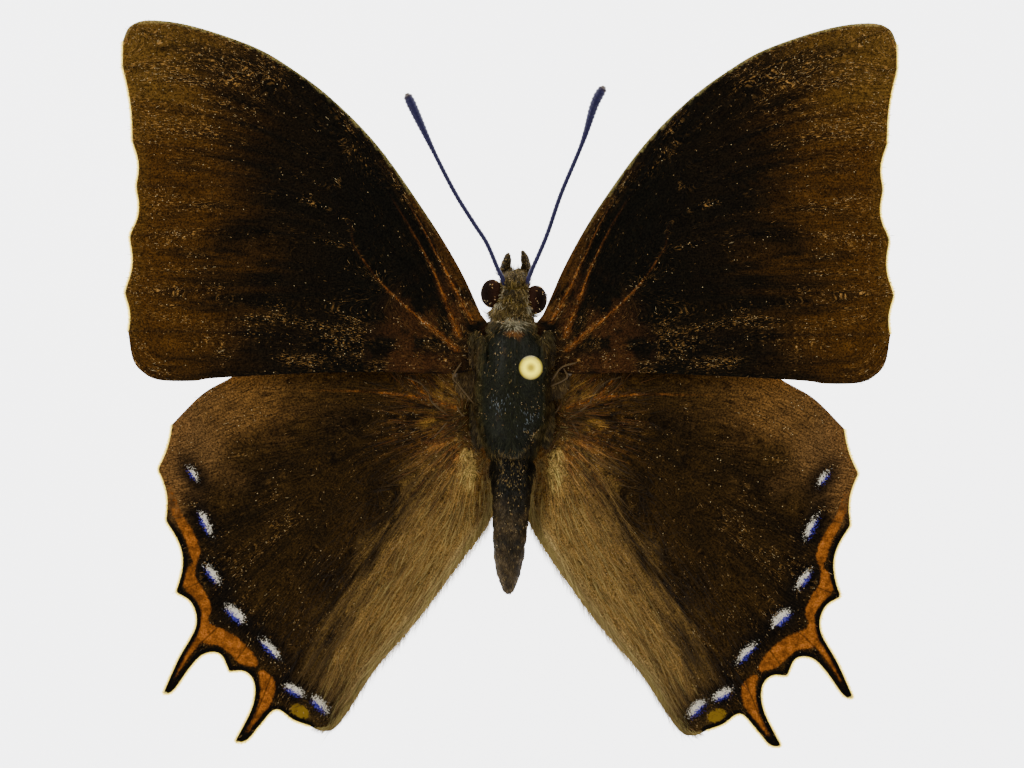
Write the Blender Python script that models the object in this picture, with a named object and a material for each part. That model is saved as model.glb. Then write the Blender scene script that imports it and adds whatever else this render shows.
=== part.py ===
"""A set and pinned two-tailed prince butterfly, life size, on its pin and a small plain base.

Metres, +Z up (its upper side is up), +Y towards the head, +X to the right seen from above.
The origin is at the bottom centre of the whole piece. Sizes are written in millimetres and turned
into metres where a mesh is made. A place on a wing is (out, fore): millimetres out from the body's
midline and forward of the origin.
"""

import math

import bmesh
import bpy
import numpy as np
from mathutils import Matrix, Vector
from mathutils.geometry import delaunay_2d_cdt

MM = 0.001
GAP = 0.3  # clearance between neighbouring pieces

# Wings
FOREWING_Z = 26.3  # middle of the membrane at its root
HINDWING_Z = 25.15
MEMBRANE_HALF = 0.25  # half the thickness of the membrane
ROOT_HALF = 0.4  # half the thickness of the stiff wing root
ROOT_REACH = 2.5  # how far the thick root runs out
VEIN_RISE = 0.16  # height of a main vein above each face
VEIN_TAPER = 0.35  # share of its height that a vein loses towards the edge
VEIN_FOOT = 0.42  # from the crest of a vein to its foot
FOOT_TO_VEIN = 0.32  # a foot any nearer to another vein is left out
FOOT_TO_EDGE = 0.3
GRID = 3.4  # spacing of the membrane's inner points
GRID_TO_VEIN = 1.2
GRID_TO_EDGE = 1.1
ROOT_OUT = 4.0
WING_SPAN = 28.0
WING_REACH = 30.0  # from the middle to the front or rear edge
DIHEDRAL_RISE = 1.2  # lift of the wing tips
TIP_DROOP = 0.5
EDGE_DROOP = 0.8  # fall towards the front and rear edges
GUTTER_OUT = 4.6  # the hindwing dips inside this distance from the midline
GUTTER_WIDTH = 3.2
GUTTER_DEPTH = 1.5
RIGHT_FOREWING_TURN = math.radians(-0.2)
RIGHT_FOREWING_SHIFT = (-0.46, -0.15)  # the right wings are set a little lower and nearer
RIGHT_HINDWING_SHIFT = (-0.64, -0.37)
SHIFT_START = 5.0  # from the hinge to where the shift begins, and to where all of it is reached
SHIFT_END = 12.0
FOREWING_HINGE = (3.6, 2.8)
HINDWING_HINGE = (3.4, -2.6)
FOREWING_ROOT = (1.3, 4.6)  # where the root meets the thorax, from rear to front
HINDWING_ROOT = (-5.4, -0.6)

# Forewing outline: front edge from the root to the tip, scalloped outer edge, inner edge
FORE_COSTA = [
    (2.55, 5.75), (4.3, 9.5), (6.9, 13.8), (11.1, 19.75), (15.0, 23.75), (18.3, 26.25),
    (21.5, 28.1), (26.5, 29.8), (30.1, 30.3), (31.8, 29.8), (32.45, 28.5),
]
# Each vein's end on the outer edge, and the depth of the hollow that follows it
FORE_MARGIN = [
    ((32.45, 28.5), 0.0), ((32.5, 26.4), 0.05), ((31.8, 23.3), 0.05), ((31.65, 20.1), 0.4),
    ((31.35, 16.4), 0.55), ((31.9, 12.3), 0.5), ((32.3, 7.6), 0.3), ((31.9, 4.4), 0.0),
]
FORE_INNER = [
    (31.9, 4.4), (31.5, 2.1), (30.7, 1.0), (29.3, 0.33), (26.5, 0.25), (24.5, 0.5),
    (17.0, 0.9), (10.5, 1.0), (6.0, 0.85), (4.3, 0.9),
]

# Hindwing outline: hidden front edge, scallops, first tail, tooth, second tail, inner edge
HIND_COSTA = [
    (4.2, 0.0), (6.5, 2.0), (11.0, 3.0), (17.0, 2.8), (21.0, 1.9), (23.7, 0.4), (25.9, -0.9),
    (28.4, -3.4),
]
HIND_MARGIN = [
    ((28.4, -3.4), 0.2), ((29.6, -7.1), 0.42), ((28.95, -11.45), 1.0), ((28.15, -17.4), 0.0),
]
FIRST_TAIL_OUTER = [(28.15, -17.4), (26.8, -18.3), (26.45, -20.2), (27.9, -22.9), (29.25, -25.9)]
FIRST_TAIL_INNER = [
    (29.25, -25.9), (28.35, -25.75), (26.8, -23.65), (25.7, -22.6), (24.4, -22.6), (23.65, -24.1),
]
SECOND_TAIL_OUTER = [
    (23.65, -24.1), (22.4, -24.05), (21.6, -24.95), (21.75, -26.9), (23.25, -29.95),
]
SECOND_TAIL_INNER = [
    (23.25, -29.95), (22.2, -29.9), (20.9, -28.4), (19.7, -27.25), (18.3, -28.15), (16.9, -28.65),
]
HIND_INNER = [
    (16.9, -28.65), (15.7, -29.05), (14.4, -28.35), (11.4, -23.85), (7.9, -19.75), (4.2, -14.75),
    (1.9, -11.6), (1.25, -9.3), (1.45, -7.0),
]

# Main veins. Two that meet share the point where they do.
FORE_CELL_FORK = (13.6, 19.8)
FORE_CUBITAL_FORKS = [(10.2, 7.7), (13.0, 11.3), (14.3, 14.2)]
FORE_CELL_END = [(14.9, 16.4), (14.6, 18.3)]
FOREWING_VEINS = [
    [(3.3, 5.3), (4.9, 8.2), (7.1, 12.4), (9.3, 16.1), (12.2, 20.0), (15.0, 23.75)],
    [(4.4, 4.0), (6.5, 9.3), (8.4, 12.8), (10.9, 16.8), FORE_CELL_FORK, (20.0, 24.6), (26.0, 27.7),
     (31.8, 29.8)],
    [(10.9, 16.8), (13.6, 21.3), (18.3, 26.25)],
    [(20.0, 24.6), (26.5, 26.2), (32.5, 26.4)],
    [FORE_CELL_FORK, FORE_CELL_END[1], (22.0, 21.6), (31.8, 23.3)],
    [FORE_CELL_END[1], FORE_CELL_END[0], (22.0, 18.9), (31.65, 20.1)],
    [FORE_CELL_END[0], FORE_CUBITAL_FORKS[2]],
    [(4.6, 2.9), FORE_CUBITAL_FORKS[0], FORE_CUBITAL_FORKS[1], FORE_CUBITAL_FORKS[2], (22.0, 16.3),
     (31.35, 16.4)],
    [FORE_CUBITAL_FORKS[1], (21.0, 12.7), (31.9, 12.3)],
    [FORE_CUBITAL_FORKS[0], (20.0, 7.9), (32.3, 7.6)],
    [(4.6, 1.9), (12.0, 3.2), (22.0, 4.2), (31.9, 4.4)],
]
HIND_STEM_FORK = (13.0, -4.1)
HIND_CELL_END = [(15.4, -6.8), (14.6, -9.6)]
HIND_CUBITAL_FORK = (11.4, -8.6)
HINDWING_VEINS = [
    [(4.6, -2.0), (6.9, -1.2), (8.4, 0.3)],
    [(6.9, -1.2), (13.0, -0.6), (20.5, -0.9), (28.4, -3.4)],
    [(4.6, -3.0), (8.5, -3.3), HIND_STEM_FORK, (20.5, -5.6), (29.6, -7.1)],
    [HIND_STEM_FORK, HIND_CELL_END[0], (21.5, -9.4), (28.95, -11.45)],
    [HIND_CELL_END[0], HIND_CELL_END[1], (19.8, -12.4), (24.2, -15.6), (28.0, -17.4)],
    [HIND_CUBITAL_FORK, HIND_CELL_END[1], (18.9, -14.7), (23.4, -19.2), (26.3, -22.0), (28.0, -24.4)],
    [HIND_CELL_END[1], (17.6, -15.6), (21.0, -20.3), (23.6, -23.8)],
    [(4.4, -4.2), (7.6, -6.0), HIND_CUBITAL_FORK, (15.7, -15.6), (19.0, -21.3), (20.5, -25.4),
     (21.7, -28.2)],
    [(3.9, -5.4), (7.7, -10.8), (12.0, -18.4), (15.3, -24.6), (16.9, -28.3)],
    [(3.2, -7.6), (4.6, -11.5), (8.0, -17.0), (11.6, -22.2)],
]

# Body, as (fore, out of the midline, half width, middle height, half height) from front to rear
HEAD_RINGS = [
    (9.25, 0.36, 0.35, 24.85, 0.40), (9.0, 0.33, 0.85, 24.9, 0.95), (8.4, 0.26, 1.35, 25.0, 1.5),
    (7.6, 0.17, 1.75, 25.05, 1.85), (6.8, 0.10, 1.95, 25.05, 1.85), (6.1, 0.04, 1.8, 25.0, 1.6),
    (5.55, 0.0, 1.15, 25.0, 1.15),
]
THORAX_RINGS = [
    (5.25, 0.0, 1.15, 25.0, 1.15), (4.95, 0.0, 1.95, 25.1, 1.85), (4.3, 0.0, 2.45, 25.1, 2.5),
    (3.2, 0.0, 2.8, 25.05, 3.0), (1.8, 0.0, 3.05, 25.05, 3.3), (0.2, 0.0, 3.2, 25.1, 3.45),
    (-1.6, 0.0, 3.2, 25.1, 3.45), (-3.2, 0.0, 2.95, 25.15, 3.2), (-4.6, 0.0, 2.5, 25.2, 2.75),
    (-5.6, 0.0, 2.0, 25.3, 2.2), (-6.1, 0.0, 1.45, 25.4, 1.5),
]
ABDOMEN_START = -6.4
ABDOMEN_END = -17.5
ABDOMEN_SEGMENTS = 8
# Half width at each share of its length
ABDOMEN_PROFILE = [
    (0.0, 1.45), (0.15, 1.7), (0.4, 1.55), (0.58, 1.45), (0.75, 1.28), (0.9, 0.88), (1.0, 0.35),
]
ABDOMEN_DEPTH = 0.97  # height against width
ABDOMEN_PINCH = 0.09  # depth of the groove between two segments
ABDOMEN_LEAN = -0.3  # sideways lean of its rear part
ABDOMEN_TOP = 25.4  # middle height at its front end
ABDOMEN_FALL = 0.5

# Eyes, as (out, fore, height) of the centre
EYE_RADII = (0.95, 1.2, 1.45)
EYES = {"left": (-1.67, 7.55, 25.2), "right": (1.98, 7.05, 25.2)}

PALP_PATHS = {
    "left": [(-0.5, 9.15, 23.45), (-0.55, 9.75, 23.85), (-0.42, 10.4, 24.45), (-0.28, 10.95, 25.1)],
    "right": [(1.15, 9.1, 23.45), (1.2, 9.8, 23.85), (1.08, 10.55, 24.45), (0.85, 11.15, 25.1)],
}
PALP_RADII = [0.26, 0.4, 0.34, 0.07]

ANTENNA_PATHS = {
    "left": [
        (-0.8, 8.8, 26.25), (-1.15, 9.5, 26.5), (-2.1, 11.7, 26.8), (-3.2, 13.4, 26.95),
        (-4.75, 15.9, 27.1), (-6.6, 19.5, 27.3), (-8.75, 24.1, 27.5),
    ],
    "right": [
        (1.35, 8.65, 26.3), (1.6, 9.35, 26.55), (2.87, 12.3, 26.8), (4.08, 15.8, 27.05),
        (5.83, 20.0, 27.3), (6.85, 23.2, 27.45), (7.65, 24.7, 27.55),
    ],
}
ANTENNA_RADIUS = 0.25
CLUB_LENGTH = 5.5
# Radius at each share of the club's length
CLUB_SHAPE = [(0.0, ANTENNA_RADIUS), (0.45, 0.36), (0.9, 0.4), (1.0, 0.2)]

PROBOSCIS_CENTRE = (0.35, 8.55, 22.15)
PROBOSCIS_OUTER = 1.05
PROBOSCIS_INNER = 0.36
PROBOSCIS_TURNS = 1.15
PROBOSCIS_START = math.radians(80)
PROBOSCIS_RADIUS = 0.2
PROBOSCIS_TAPER = 0.35

TEGULA_RADII = (0.62, 1.9, 0.5)
TEGULA_CENTRE = (2.75, 2.3, 27.5)
SCUTELLUM_RADII = (1.45, 1.2, 0.75)
SCUTELLUM_CENTRE = (0.0, -5.0, 27.4)

# Legs, as paths on one side from the hip over the rounded knee to the foot
LEG_PATHS = {
    "fore": [
        (0.8, 4.2, 22.25), (0.95, 4.75, 21.4), (0.95, 5.5, 21.1), (0.75, 6.5, 21.45), (0.6, 7.3, 21.9),
    ],
    "mid": [
        (2.05, 2.5, 22.08), (2.65, 3.5, 21.4), (2.95, 3.75, 20.3), (2.85, 2.6, 19.7), (2.6, 0.0, 19.0),
        (2.2, -3.2, 18.3),
    ],
    "hind": [
        (1.9, -2.0, 21.75), (2.9, -1.0, 21.4), (3.35, -0.9, 20.6), (3.25, -2.2, 20.1),
        (3.0, -4.6, 19.6), (2.4, -8.2, 19.0),
    ],
}
# Radius at each share of the path's points
LEG_SHAPE = [(0.0, 0.3), (0.5, 0.3), (0.94, 0.25), (1.0, 0.14)]

# Pin and base
PIN_X = 1.5
PIN_Y = 1.3
PIN_RADIUS = 0.275
PIN_FOOT = 1.6
PIN_TOP = 39.6
PIN_HEAD_RADIUS = 0.97
BORE_BOTTOM = 15.0  # the bore through the thorax, cut past both of its faces
BORE_TOP = 35.0
BASE_SIZE = (34.0, 15.0, 6.0)
BASE_Y = -3.2
BASE_CORNER = 2.5
BASE_EDGE = 0.6
SOCKET_DEPTH = 4.7

# Colour, roughness
UMBER = (0.045, 0.030, 0.014)
FINISHES = {
    "head": (UMBER, 0.8),
    "eye": ((0.012, 0.008, 0.006), 0.15),
    "palp": ((0.05, 0.035, 0.02), 0.8),
    "antenna": ((0.03, 0.028, 0.05), 0.4),
    "proboscis": ((0.08, 0.045, 0.02), 0.4),
    "thorax": ((0.018, 0.018, 0.013), 0.5),
    "abdomen": ((0.035, 0.026, 0.015), 0.8),
    "forewing": ((0.02, 0.013, 0.006), 0.6),
    "hindwing": ((0.05, 0.032, 0.014), 0.6),
    "leg": ((0.05, 0.03, 0.015), 0.6),
    "pin": ((0.55, 0.5, 0.3), 0.35),
    "stand": ((0.75, 0.74, 0.7), 0.6),
}


def clear_scene():
    for obj in list(bpy.data.objects):
        bpy.data.objects.remove(obj)


def new_object(name, bm, finish, metallic=0.0):
    """Turns a bmesh in millimetres into an object in metres with a material of its own."""
    bmesh.ops.scale(bm, vec=(MM, MM, MM), verts=bm.verts)
    mesh = bpy.data.meshes.new(name)
    bm.to_mesh(mesh)
    bm.free()
    mesh.shade_smooth()
    colour, roughness = FINISHES[finish]
    material = bpy.data.materials.new(name)
    material.use_nodes = True
    shader = material.node_tree.nodes["Principled BSDF"]
    shader.inputs["Base Color"].default_value = (*colour, 1.0)
    shader.inputs["Roughness"].default_value = roughness
    shader.inputs["Metallic"].default_value = metallic
    mesh.materials.append(material)
    obj = bpy.data.objects.new(name, mesh)
    bpy.context.scene.collection.objects.link(obj)
    return obj


def curve_through(points, steps):
    """A smooth curve through the points, with this many steps between each two of them."""
    points = [Vector(point) for point in points]
    ends = [2 * points[0] - points[1], *points, 2 * points[-1] - points[-2]]
    result = []
    for before, start, end, after in zip(ends, ends[1:], ends[2:], ends[3:]):
        for step in range(steps):
            t = step / steps
            result.append(
                0.5 * (2 * start + (end - before) * t
                       + (2 * before - 5 * start + 4 * end - after) * t * t
                       + (3 * start - 3 * end + after - before) * t ** 3)
            )
    return [*result, points[-1]]


def add_faces_between(bm, first, second):
    count = len(first)
    for i in range(count):
        j = (i + 1) % count
        bm.faces.new((first[i], first[j], second[j], second[i]))


def body_of_rings(rings, sides):
    """A body whose elliptical rings, front to rear, stand upright across the midline."""
    bm = bmesh.new()
    loops = []
    for fore, side, half_width, height, half_height in rings:
        angles = [2 * math.pi * i / sides for i in range(sides)]
        loops.append([
            bm.verts.new((side + half_width * math.cos(a), fore, height + half_height * math.sin(a)))
            for a in angles
        ])
    for first, second in zip(loops, loops[1:]):
        add_faces_between(bm, first, second)
    bm.faces.new(loops[0][::-1])
    bm.faces.new(loops[-1])
    bmesh.ops.recalc_face_normals(bm, faces=bm.faces)
    return bm


def tube(path, radii, sides):
    """A round tube along the path, with a flat cap at each end."""
    bm = bmesh.new()
    loops = []
    normal = None
    for i, (point, radius) in enumerate(zip(path, radii)):
        ahead = (path[min(i + 1, len(path) - 1)] - path[max(i - 1, 0)]).normalized()
        if normal is None:
            normal = ahead.orthogonal().normalized()
        normal = (normal - ahead * normal.dot(ahead)).normalized()
        across = ahead.cross(normal)
        angles = [2 * math.pi * k / sides for k in range(sides)]
        loops.append([
            bm.verts.new(point + (math.cos(a) * normal + math.sin(a) * across) * float(radius))
            for a in angles
        ])
    for first, second in zip(loops, loops[1:]):
        add_faces_between(bm, first, second)
    bm.faces.new(loops[0][::-1])
    bm.faces.new(loops[-1])
    bmesh.ops.recalc_face_normals(bm, faces=bm.faces)
    return bm


def ellipsoid(centre, radii, segments=20, rings=12):
    bm = bmesh.new()
    place = Matrix.Translation(centre) @ Matrix.Diagonal((*radii, 1.0))
    bmesh.ops.create_uvsphere(bm, u_segments=segments, v_segments=rings, radius=1.0, matrix=place)
    return bm


def cylinder(x, y, bottom, top, radius, segments=16):
    bm = bmesh.new()
    middle = Matrix.Translation((x, y, (bottom + top) / 2))
    bmesh.ops.create_cone(bm, cap_ends=True, segments=segments, radius1=radius, radius2=radius,
                          depth=top - bottom, matrix=middle)
    return bm


def apply_boolean(obj, operation, others):
    """Joins the other objects to this one, or cuts them from it, and removes them."""
    group = bpy.data.collections.new(obj.name + "_pieces")
    bpy.context.scene.collection.children.link(group)
    for other in others:
        other.hide_render = True
        other.display_type = "WIRE"
        bpy.context.scene.collection.objects.unlink(other)
        group.objects.link(other)
    modifier = obj.modifiers.new(operation.title(), "BOOLEAN")
    modifier.operation = operation
    modifier.operand_type = "COLLECTION"
    modifier.collection = group
    modifier.solver = "EXACT"
    evaluated = obj.evaluated_get(bpy.context.evaluated_depsgraph_get())
    joined = bpy.data.meshes.new_from_object(evaluated)
    obj.modifiers.clear()
    obj.data = joined
    for other in others:
        bpy.data.objects.remove(other)
    bpy.data.collections.remove(group)


def keep_largest_surface(obj):
    """Leaves only the mesh's largest closed surface, so no sealed hollow or scrap stays in it."""
    bm = bmesh.new()
    bm.from_mesh(obj.data)
    unseen = set(bm.verts)
    surfaces = []
    while unseen:
        surface = {unseen.pop()}
        edge = set(surface)
        while edge:
            edge = {v for old in edge for link in old.link_edges for v in link.verts} & unseen
            unseen -= edge
            surface |= edge
        surfaces.append(surface)
    largest = max(surfaces, key=len)
    bmesh.ops.delete(bm, geom=[v for v in bm.verts if v not in largest], context="VERTS")
    bm.to_mesh(obj.data)
    bm.free()


def distance_to_line(point, line):
    """How far the point is from the nearest place on an open line of points, in plan."""
    line = np.array([tuple(p)[:2] for p in line])
    start, along = line[:-1], np.diff(line, axis=0)
    length = np.maximum((along ** 2).sum(axis=1), 1e-12)
    share = np.clip(((np.array(point) - start) * along).sum(axis=1) / length, 0.0, 1.0)
    nearest = start + along * share[:, None]
    return float(np.sqrt(((nearest - np.array(point)) ** 2).sum(axis=1)).min())


def is_inside(point, outline):
    """Whether the point lies inside the closed outline."""
    x, y = point
    crossings = 0
    for (x1, y1), (x2, y2) in zip(outline, outline[1:] + outline[:1]):
        if (y1 > y) != (y2 > y) and x < x1 + (y - y1) * (x2 - x1) / (y2 - y1):
            crossings += 1
    return crossings % 2 == 1


def scalloped_edge(margin):
    """The outer edge: a hollow arc of the given depth between each vein's end and the next."""
    points = []
    for ((start, depth), (end, _)) in zip(margin, margin[1:]):
        start, end = Vector(start), Vector(end)
        inward = Vector((end.y - start.y, start.x - end.x)).normalized()
        for t in (0.0, 0.25, 0.5, 0.75):
            points.append(start.lerp(end, t) + inward * depth * math.sin(math.pi * t))
    return [*points, Vector(margin[-1][0])]


def thorax_side(fore, height):
    """How far out the side of the thorax lies at this place and height."""
    rings = THORAX_RINGS[::-1]
    places = [ring[0] for ring in rings]
    half_width = np.interp(fore, places, [ring[2] for ring in rings])
    middle = np.interp(fore, places, [ring[3] for ring in rings])
    half_height = np.interp(fore, places, [ring[4] for ring in rings])
    return float(half_width * math.sqrt(max(0.0, 1.0 - ((height - middle) / half_height) ** 2)))


def root_edge(rear, front, height, count=5):
    """The wing's root, which follows the side of the thorax at the usual gap."""
    places = np.linspace(rear, front, count)
    edge = []
    for fore in places:
        faces = (height - ROOT_HALF, height + ROOT_HALF)
        edge.append(Vector((max(thorax_side(fore, face) for face in faces) + GAP, fore)))
    return edge


def join_lines(*lines):
    """One line of (out, fore) pairs from lines that share their end points."""
    points = []
    for line in lines:
        for point in line:
            pair = (float(point[0]), float(point[1]))
            if not points or math.dist(points[-1], pair) > 1e-6:
                points.append(pair)
    return points


def forewing_outline():
    return join_lines(
        curve_through(FORE_COSTA, 2),
        scalloped_edge(FORE_MARGIN),
        curve_through(FORE_INNER, 1),
        root_edge(*FOREWING_ROOT, FOREWING_Z),
    )


def hindwing_outline():
    return join_lines(
        curve_through(HIND_COSTA, 2),
        scalloped_edge(HIND_MARGIN),
        curve_through(FIRST_TAIL_OUTER, 2),
        curve_through(FIRST_TAIL_INNER, 2),
        curve_through(SECOND_TAIL_OUTER, 2),
        curve_through(SECOND_TAIL_INNER, 2),
        curve_through(HIND_INNER, 2),
        root_edge(*HINDWING_ROOT, HINDWING_Z),
    )


def wing_lift(out, fore):
    """How far the set wing's surface rises above its height at the root."""
    share = (out - ROOT_OUT) / WING_SPAN
    return DIHEDRAL_RISE * share - TIP_DROOP * share ** 2 - EDGE_DROOP * (fore / WING_REACH) ** 2


def gutter_dip(out):
    """How far the hindwing falls towards its inner edge, under the abdomen."""
    t = min(max((GUTTER_OUT - out) / GUTTER_WIDTH, 0.0), 1.0)
    return GUTTER_DEPTH * t * t * (3.0 - 2.0 * t)


def membrane_half(out, fore, hinge):
    """Half the wing's thickness, which is greater at the stiff root."""
    near = max(0.0, 1.0 - math.dist((out, fore), hinge) / ROOT_REACH)
    return MEMBRANE_HALF + (ROOT_HALF - MEMBRANE_HALF) * near


def vein_lines(veins):
    return [[tuple(p) for p in curve_through(vein, 3 if len(vein) < 4 else 2)] for vein in veins]


def vein_feet(lines, outline):
    """Points on both sides of each vein, where its ridge meets the membrane."""
    feet = []
    for line in lines:
        others = [other for other in lines if other is not line]
        for before, point, after in zip(line, line[1:], line[2:]):
            along = (Vector(after) - Vector(before)).normalized()
            for side in (-1.0, 1.0):
                reach = side * VEIN_FOOT
                foot = (point[0] - reach * along.y, point[1] + reach * along.x)
                clear = all(distance_to_line(foot, other) > FOOT_TO_VEIN for other in others)
                if clear and is_inside(foot, outline) and edge_distance(foot, outline) > FOOT_TO_EDGE:
                    feet.append(foot)
    return feet


def edge_distance(point, outline):
    return distance_to_line(point, outline + outline[:1])


def membrane_points(lines, outline):
    """A loose triangular grid of points between the veins."""
    low, high = np.min(outline, axis=0), np.max(outline, axis=0)
    points = []
    for row, fore in enumerate(np.arange(low[1], high[1], GRID * math.sqrt(0.75))):
        for out in np.arange(low[0] + (row % 2) * GRID / 2, high[0], GRID):
            point = (float(out), float(fore))
            if not is_inside(point, outline) or edge_distance(point, outline) < GRID_TO_EDGE:
                continue
            if all(distance_to_line(point, line) > GRID_TO_VEIN for line in lines):
                points.append(point)
    return points


def shift_share(reach):
    """How much of its wing's shift a point at this distance from the hinge has."""
    return min(1.0, max(0.0, (reach - SHIFT_START) / (SHIFT_END - SHIFT_START)))


def wing(name, outline, veins, root_z, hinge, side, turn, shift, dips, finish):
    """One wing: a thin sheet with its veins raised on both faces, split alike on both."""
    lines = vein_lines(veins)
    points, index, segments = [], {}, []

    def add(point):
        key = (round(point[0], 4), round(point[1], 4))
        if key not in index:
            index[key] = len(points)
            points.append(Vector(point[:2]))
        return index[key]

    border = [add(point) for point in outline]
    crest = {}
    for line in lines:
        marks = [add(point) for point in line]
        segments += list(zip(marks, marks[1:]))
        for order, mark in enumerate(marks):
            crest[mark] = VEIN_RISE * (1.0 - VEIN_TAPER * order / len(marks))
    for point in vein_feet(lines, outline) + membrane_points(lines, outline):
        add(point)

    plan, _, triangles, origins, _, _ = delaunay_2d_cdt(points, segments, [border], 1, 1e-6)
    turned = Matrix.Rotation(turn, 2)
    pivot = Vector(hinge)
    rim = set(border)
    bm = bmesh.new()
    tops, bottoms = [], []
    for flat, origin in zip(plan, origins):
        rise = max((crest.get(mark, 0.0) for mark in origin if mark not in rim), default=0.0)
        half = membrane_half(flat.x, flat.y, hinge) + rise
        middle = root_z + wing_lift(flat.x, flat.y) - (gutter_dip(flat.x) if dips else 0.0)
        offset = flat - pivot
        place = turned @ offset + pivot + Vector(shift) * shift_share(offset.length)
        tops.append(bm.verts.new((side * place.x, place.y, middle + half)))
        bottoms.append(bm.verts.new((side * place.x, place.y, middle - half)))
    for a, b, c in triangles:
        bm.faces.new((tops[a], tops[b], tops[c]))
        bm.faces.new((bottoms[c], bottoms[b], bottoms[a]))
    of_input = {mark: i for i, origin in enumerate(origins) for mark in origin}
    ring = [of_input[mark] for mark in border]
    for a, b in zip(ring, ring[1:] + ring[:1]):
        bm.faces.new((tops[a], bottoms[a], bottoms[b], tops[b]))
    bmesh.ops.triangulate(bm, faces=bm.faces)
    bmesh.ops.recalc_face_normals(bm, faces=bm.faces)
    return new_object(name, bm, finish)


def make_wings():
    for side_name, side in (("left", -1.0), ("right", 1.0)):
        turn = 0.0 if side < 0 else RIGHT_FOREWING_TURN
        fore_shift = (0.0, 0.0) if side < 0 else RIGHT_FOREWING_SHIFT
        hind_shift = (0.0, 0.0) if side < 0 else RIGHT_HINDWING_SHIFT
        wing(f"forewing_{side_name}", forewing_outline(), FOREWING_VEINS, FOREWING_Z,
             FOREWING_HINGE, side, turn, fore_shift, False, "forewing")
        wing(f"hindwing_{side_name}", hindwing_outline(), HINDWING_VEINS, HINDWING_Z,
             HINDWING_HINGE, side, 0.0, hind_shift, True, "hindwing")


def make_head():
    head = new_object("head", body_of_rings(HEAD_RINGS, 24), "head")
    sockets = []
    for side, centre in EYES.items():
        new_object(f"eye_{side}", ellipsoid(centre, EYE_RADII), "eye")
        wider = [radius + GAP for radius in EYE_RADII]
        sockets.append(new_object(f"socket_{side}", ellipsoid(centre, wider), "eye"))
    apply_boolean(head, "DIFFERENCE", sockets)
    keep_largest_surface(head)


def make_palps():
    for side, path in PALP_PATHS.items():
        line = curve_through(path, 3)
        radii = np.interp(np.linspace(0, 1, len(line)), np.linspace(0, 1, len(PALP_RADII)), PALP_RADII)
        new_object(f"palp_{side}", tube(line, radii, 10), "palp")


def make_antennae():
    for side, path in ANTENNA_PATHS.items():
        line = curve_through(path, 4)
        steps = [0.0] + [(b - a).length for a, b in zip(line, line[1:])]
        travelled = np.cumsum(steps)
        start = travelled[-1] - CLUB_LENGTH
        shares, sizes = zip(*CLUB_SHAPE)
        radii = np.interp((travelled - start) / CLUB_LENGTH, shares, sizes)
        new_object(f"antenna_{side}", tube(line, radii, 8), "antenna")


def make_proboscis():
    """The tongue, coiled in one upright plane under the face."""
    line = []
    count = 24
    for i in range(count + 1):
        share = i / count
        angle = PROBOSCIS_START - 2 * math.pi * PROBOSCIS_TURNS * share
        reach = PROBOSCIS_OUTER + (PROBOSCIS_INNER - PROBOSCIS_OUTER) * share
        x, y, z = PROBOSCIS_CENTRE
        line.append(Vector((x, y + reach * math.cos(angle), z + reach * math.sin(angle))))
    radii = [PROBOSCIS_RADIUS * (1.0 - PROBOSCIS_TAPER * i / count) for i in range(count + 1)]
    new_object("proboscis", tube(line, radii, 8), "proboscis")


def make_thorax():
    """The back shield, the shoulder plates over the wing roots and the small rear shield."""
    thorax = new_object("thorax", body_of_rings(THORAX_RINGS, 28), "thorax")
    x, y, z = TEGULA_CENTRE
    pieces = [
        new_object("tegula_left", ellipsoid((-x, y, z), TEGULA_RADII, 16, 10), "thorax"),
        new_object("tegula_right", ellipsoid((x, y, z), TEGULA_RADII, 16, 10), "thorax"),
        new_object("scutellum", ellipsoid(SCUTELLUM_CENTRE, SCUTELLUM_RADII, 20, 10), "thorax"),
    ]
    apply_boolean(thorax, "UNION", pieces)
    bore = cylinder(PIN_X, PIN_Y, BORE_BOTTOM, BORE_TOP, PIN_RADIUS + GAP)
    apply_boolean(thorax, "DIFFERENCE", [new_object("pin_bore", bore, "pin")])
    keep_largest_surface(thorax)


def make_abdomen():
    """Eight segments with a shallow groove between each two, tapering to the rear."""
    shares, sizes = zip(*ABDOMEN_PROFILE)
    rings = []
    per_segment = 4
    count = ABDOMEN_SEGMENTS * per_segment
    for i in range(count + 1):
        share = i / count
        pinch = ABDOMEN_PINCH if i % per_segment == 0 and 0 < i < count else 0.0
        size = float(np.interp(share, shares, sizes)) - pinch
        lean = ABDOMEN_LEAN * math.sin(math.pi * share / 2) ** 2
        fore = ABDOMEN_START + (ABDOMEN_END - ABDOMEN_START) * share
        height = ABDOMEN_TOP - ABDOMEN_FALL * share
        rings.append((fore, lean, size, height, ABDOMEN_DEPTH * size))
    new_object("abdomen", body_of_rings(rings, 18), "abdomen")


def make_legs():
    """Three pairs, folded under the body."""
    shares, sizes = zip(*LEG_SHAPE)
    for pair, path in LEG_PATHS.items():
        for side_name, side in (("left", -1.0), ("right", 1.0)):
            line = curve_through([(side * x, y, z) for x, y, z in path], 3)
            radii = np.interp(np.linspace(0, 1, len(line)), shares, sizes)
            new_object(f"leg_{pair}_{side_name}", tube(line, radii, 8), "leg")


def make_pin():
    """A long thin shaft and a round head on its upper end."""
    shaft = cylinder(PIN_X, PIN_Y, PIN_FOOT, PIN_TOP - PIN_HEAD_RADIUS, PIN_RADIUS)
    pin = new_object("pin", shaft, "pin")
    ball = ellipsoid((PIN_X, PIN_Y, PIN_TOP - PIN_HEAD_RADIUS), (PIN_HEAD_RADIUS,) * 3, 20, 12)
    apply_boolean(pin, "UNION", [new_object("pin_head", ball, "pin")])
    keep_largest_surface(pin)


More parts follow.
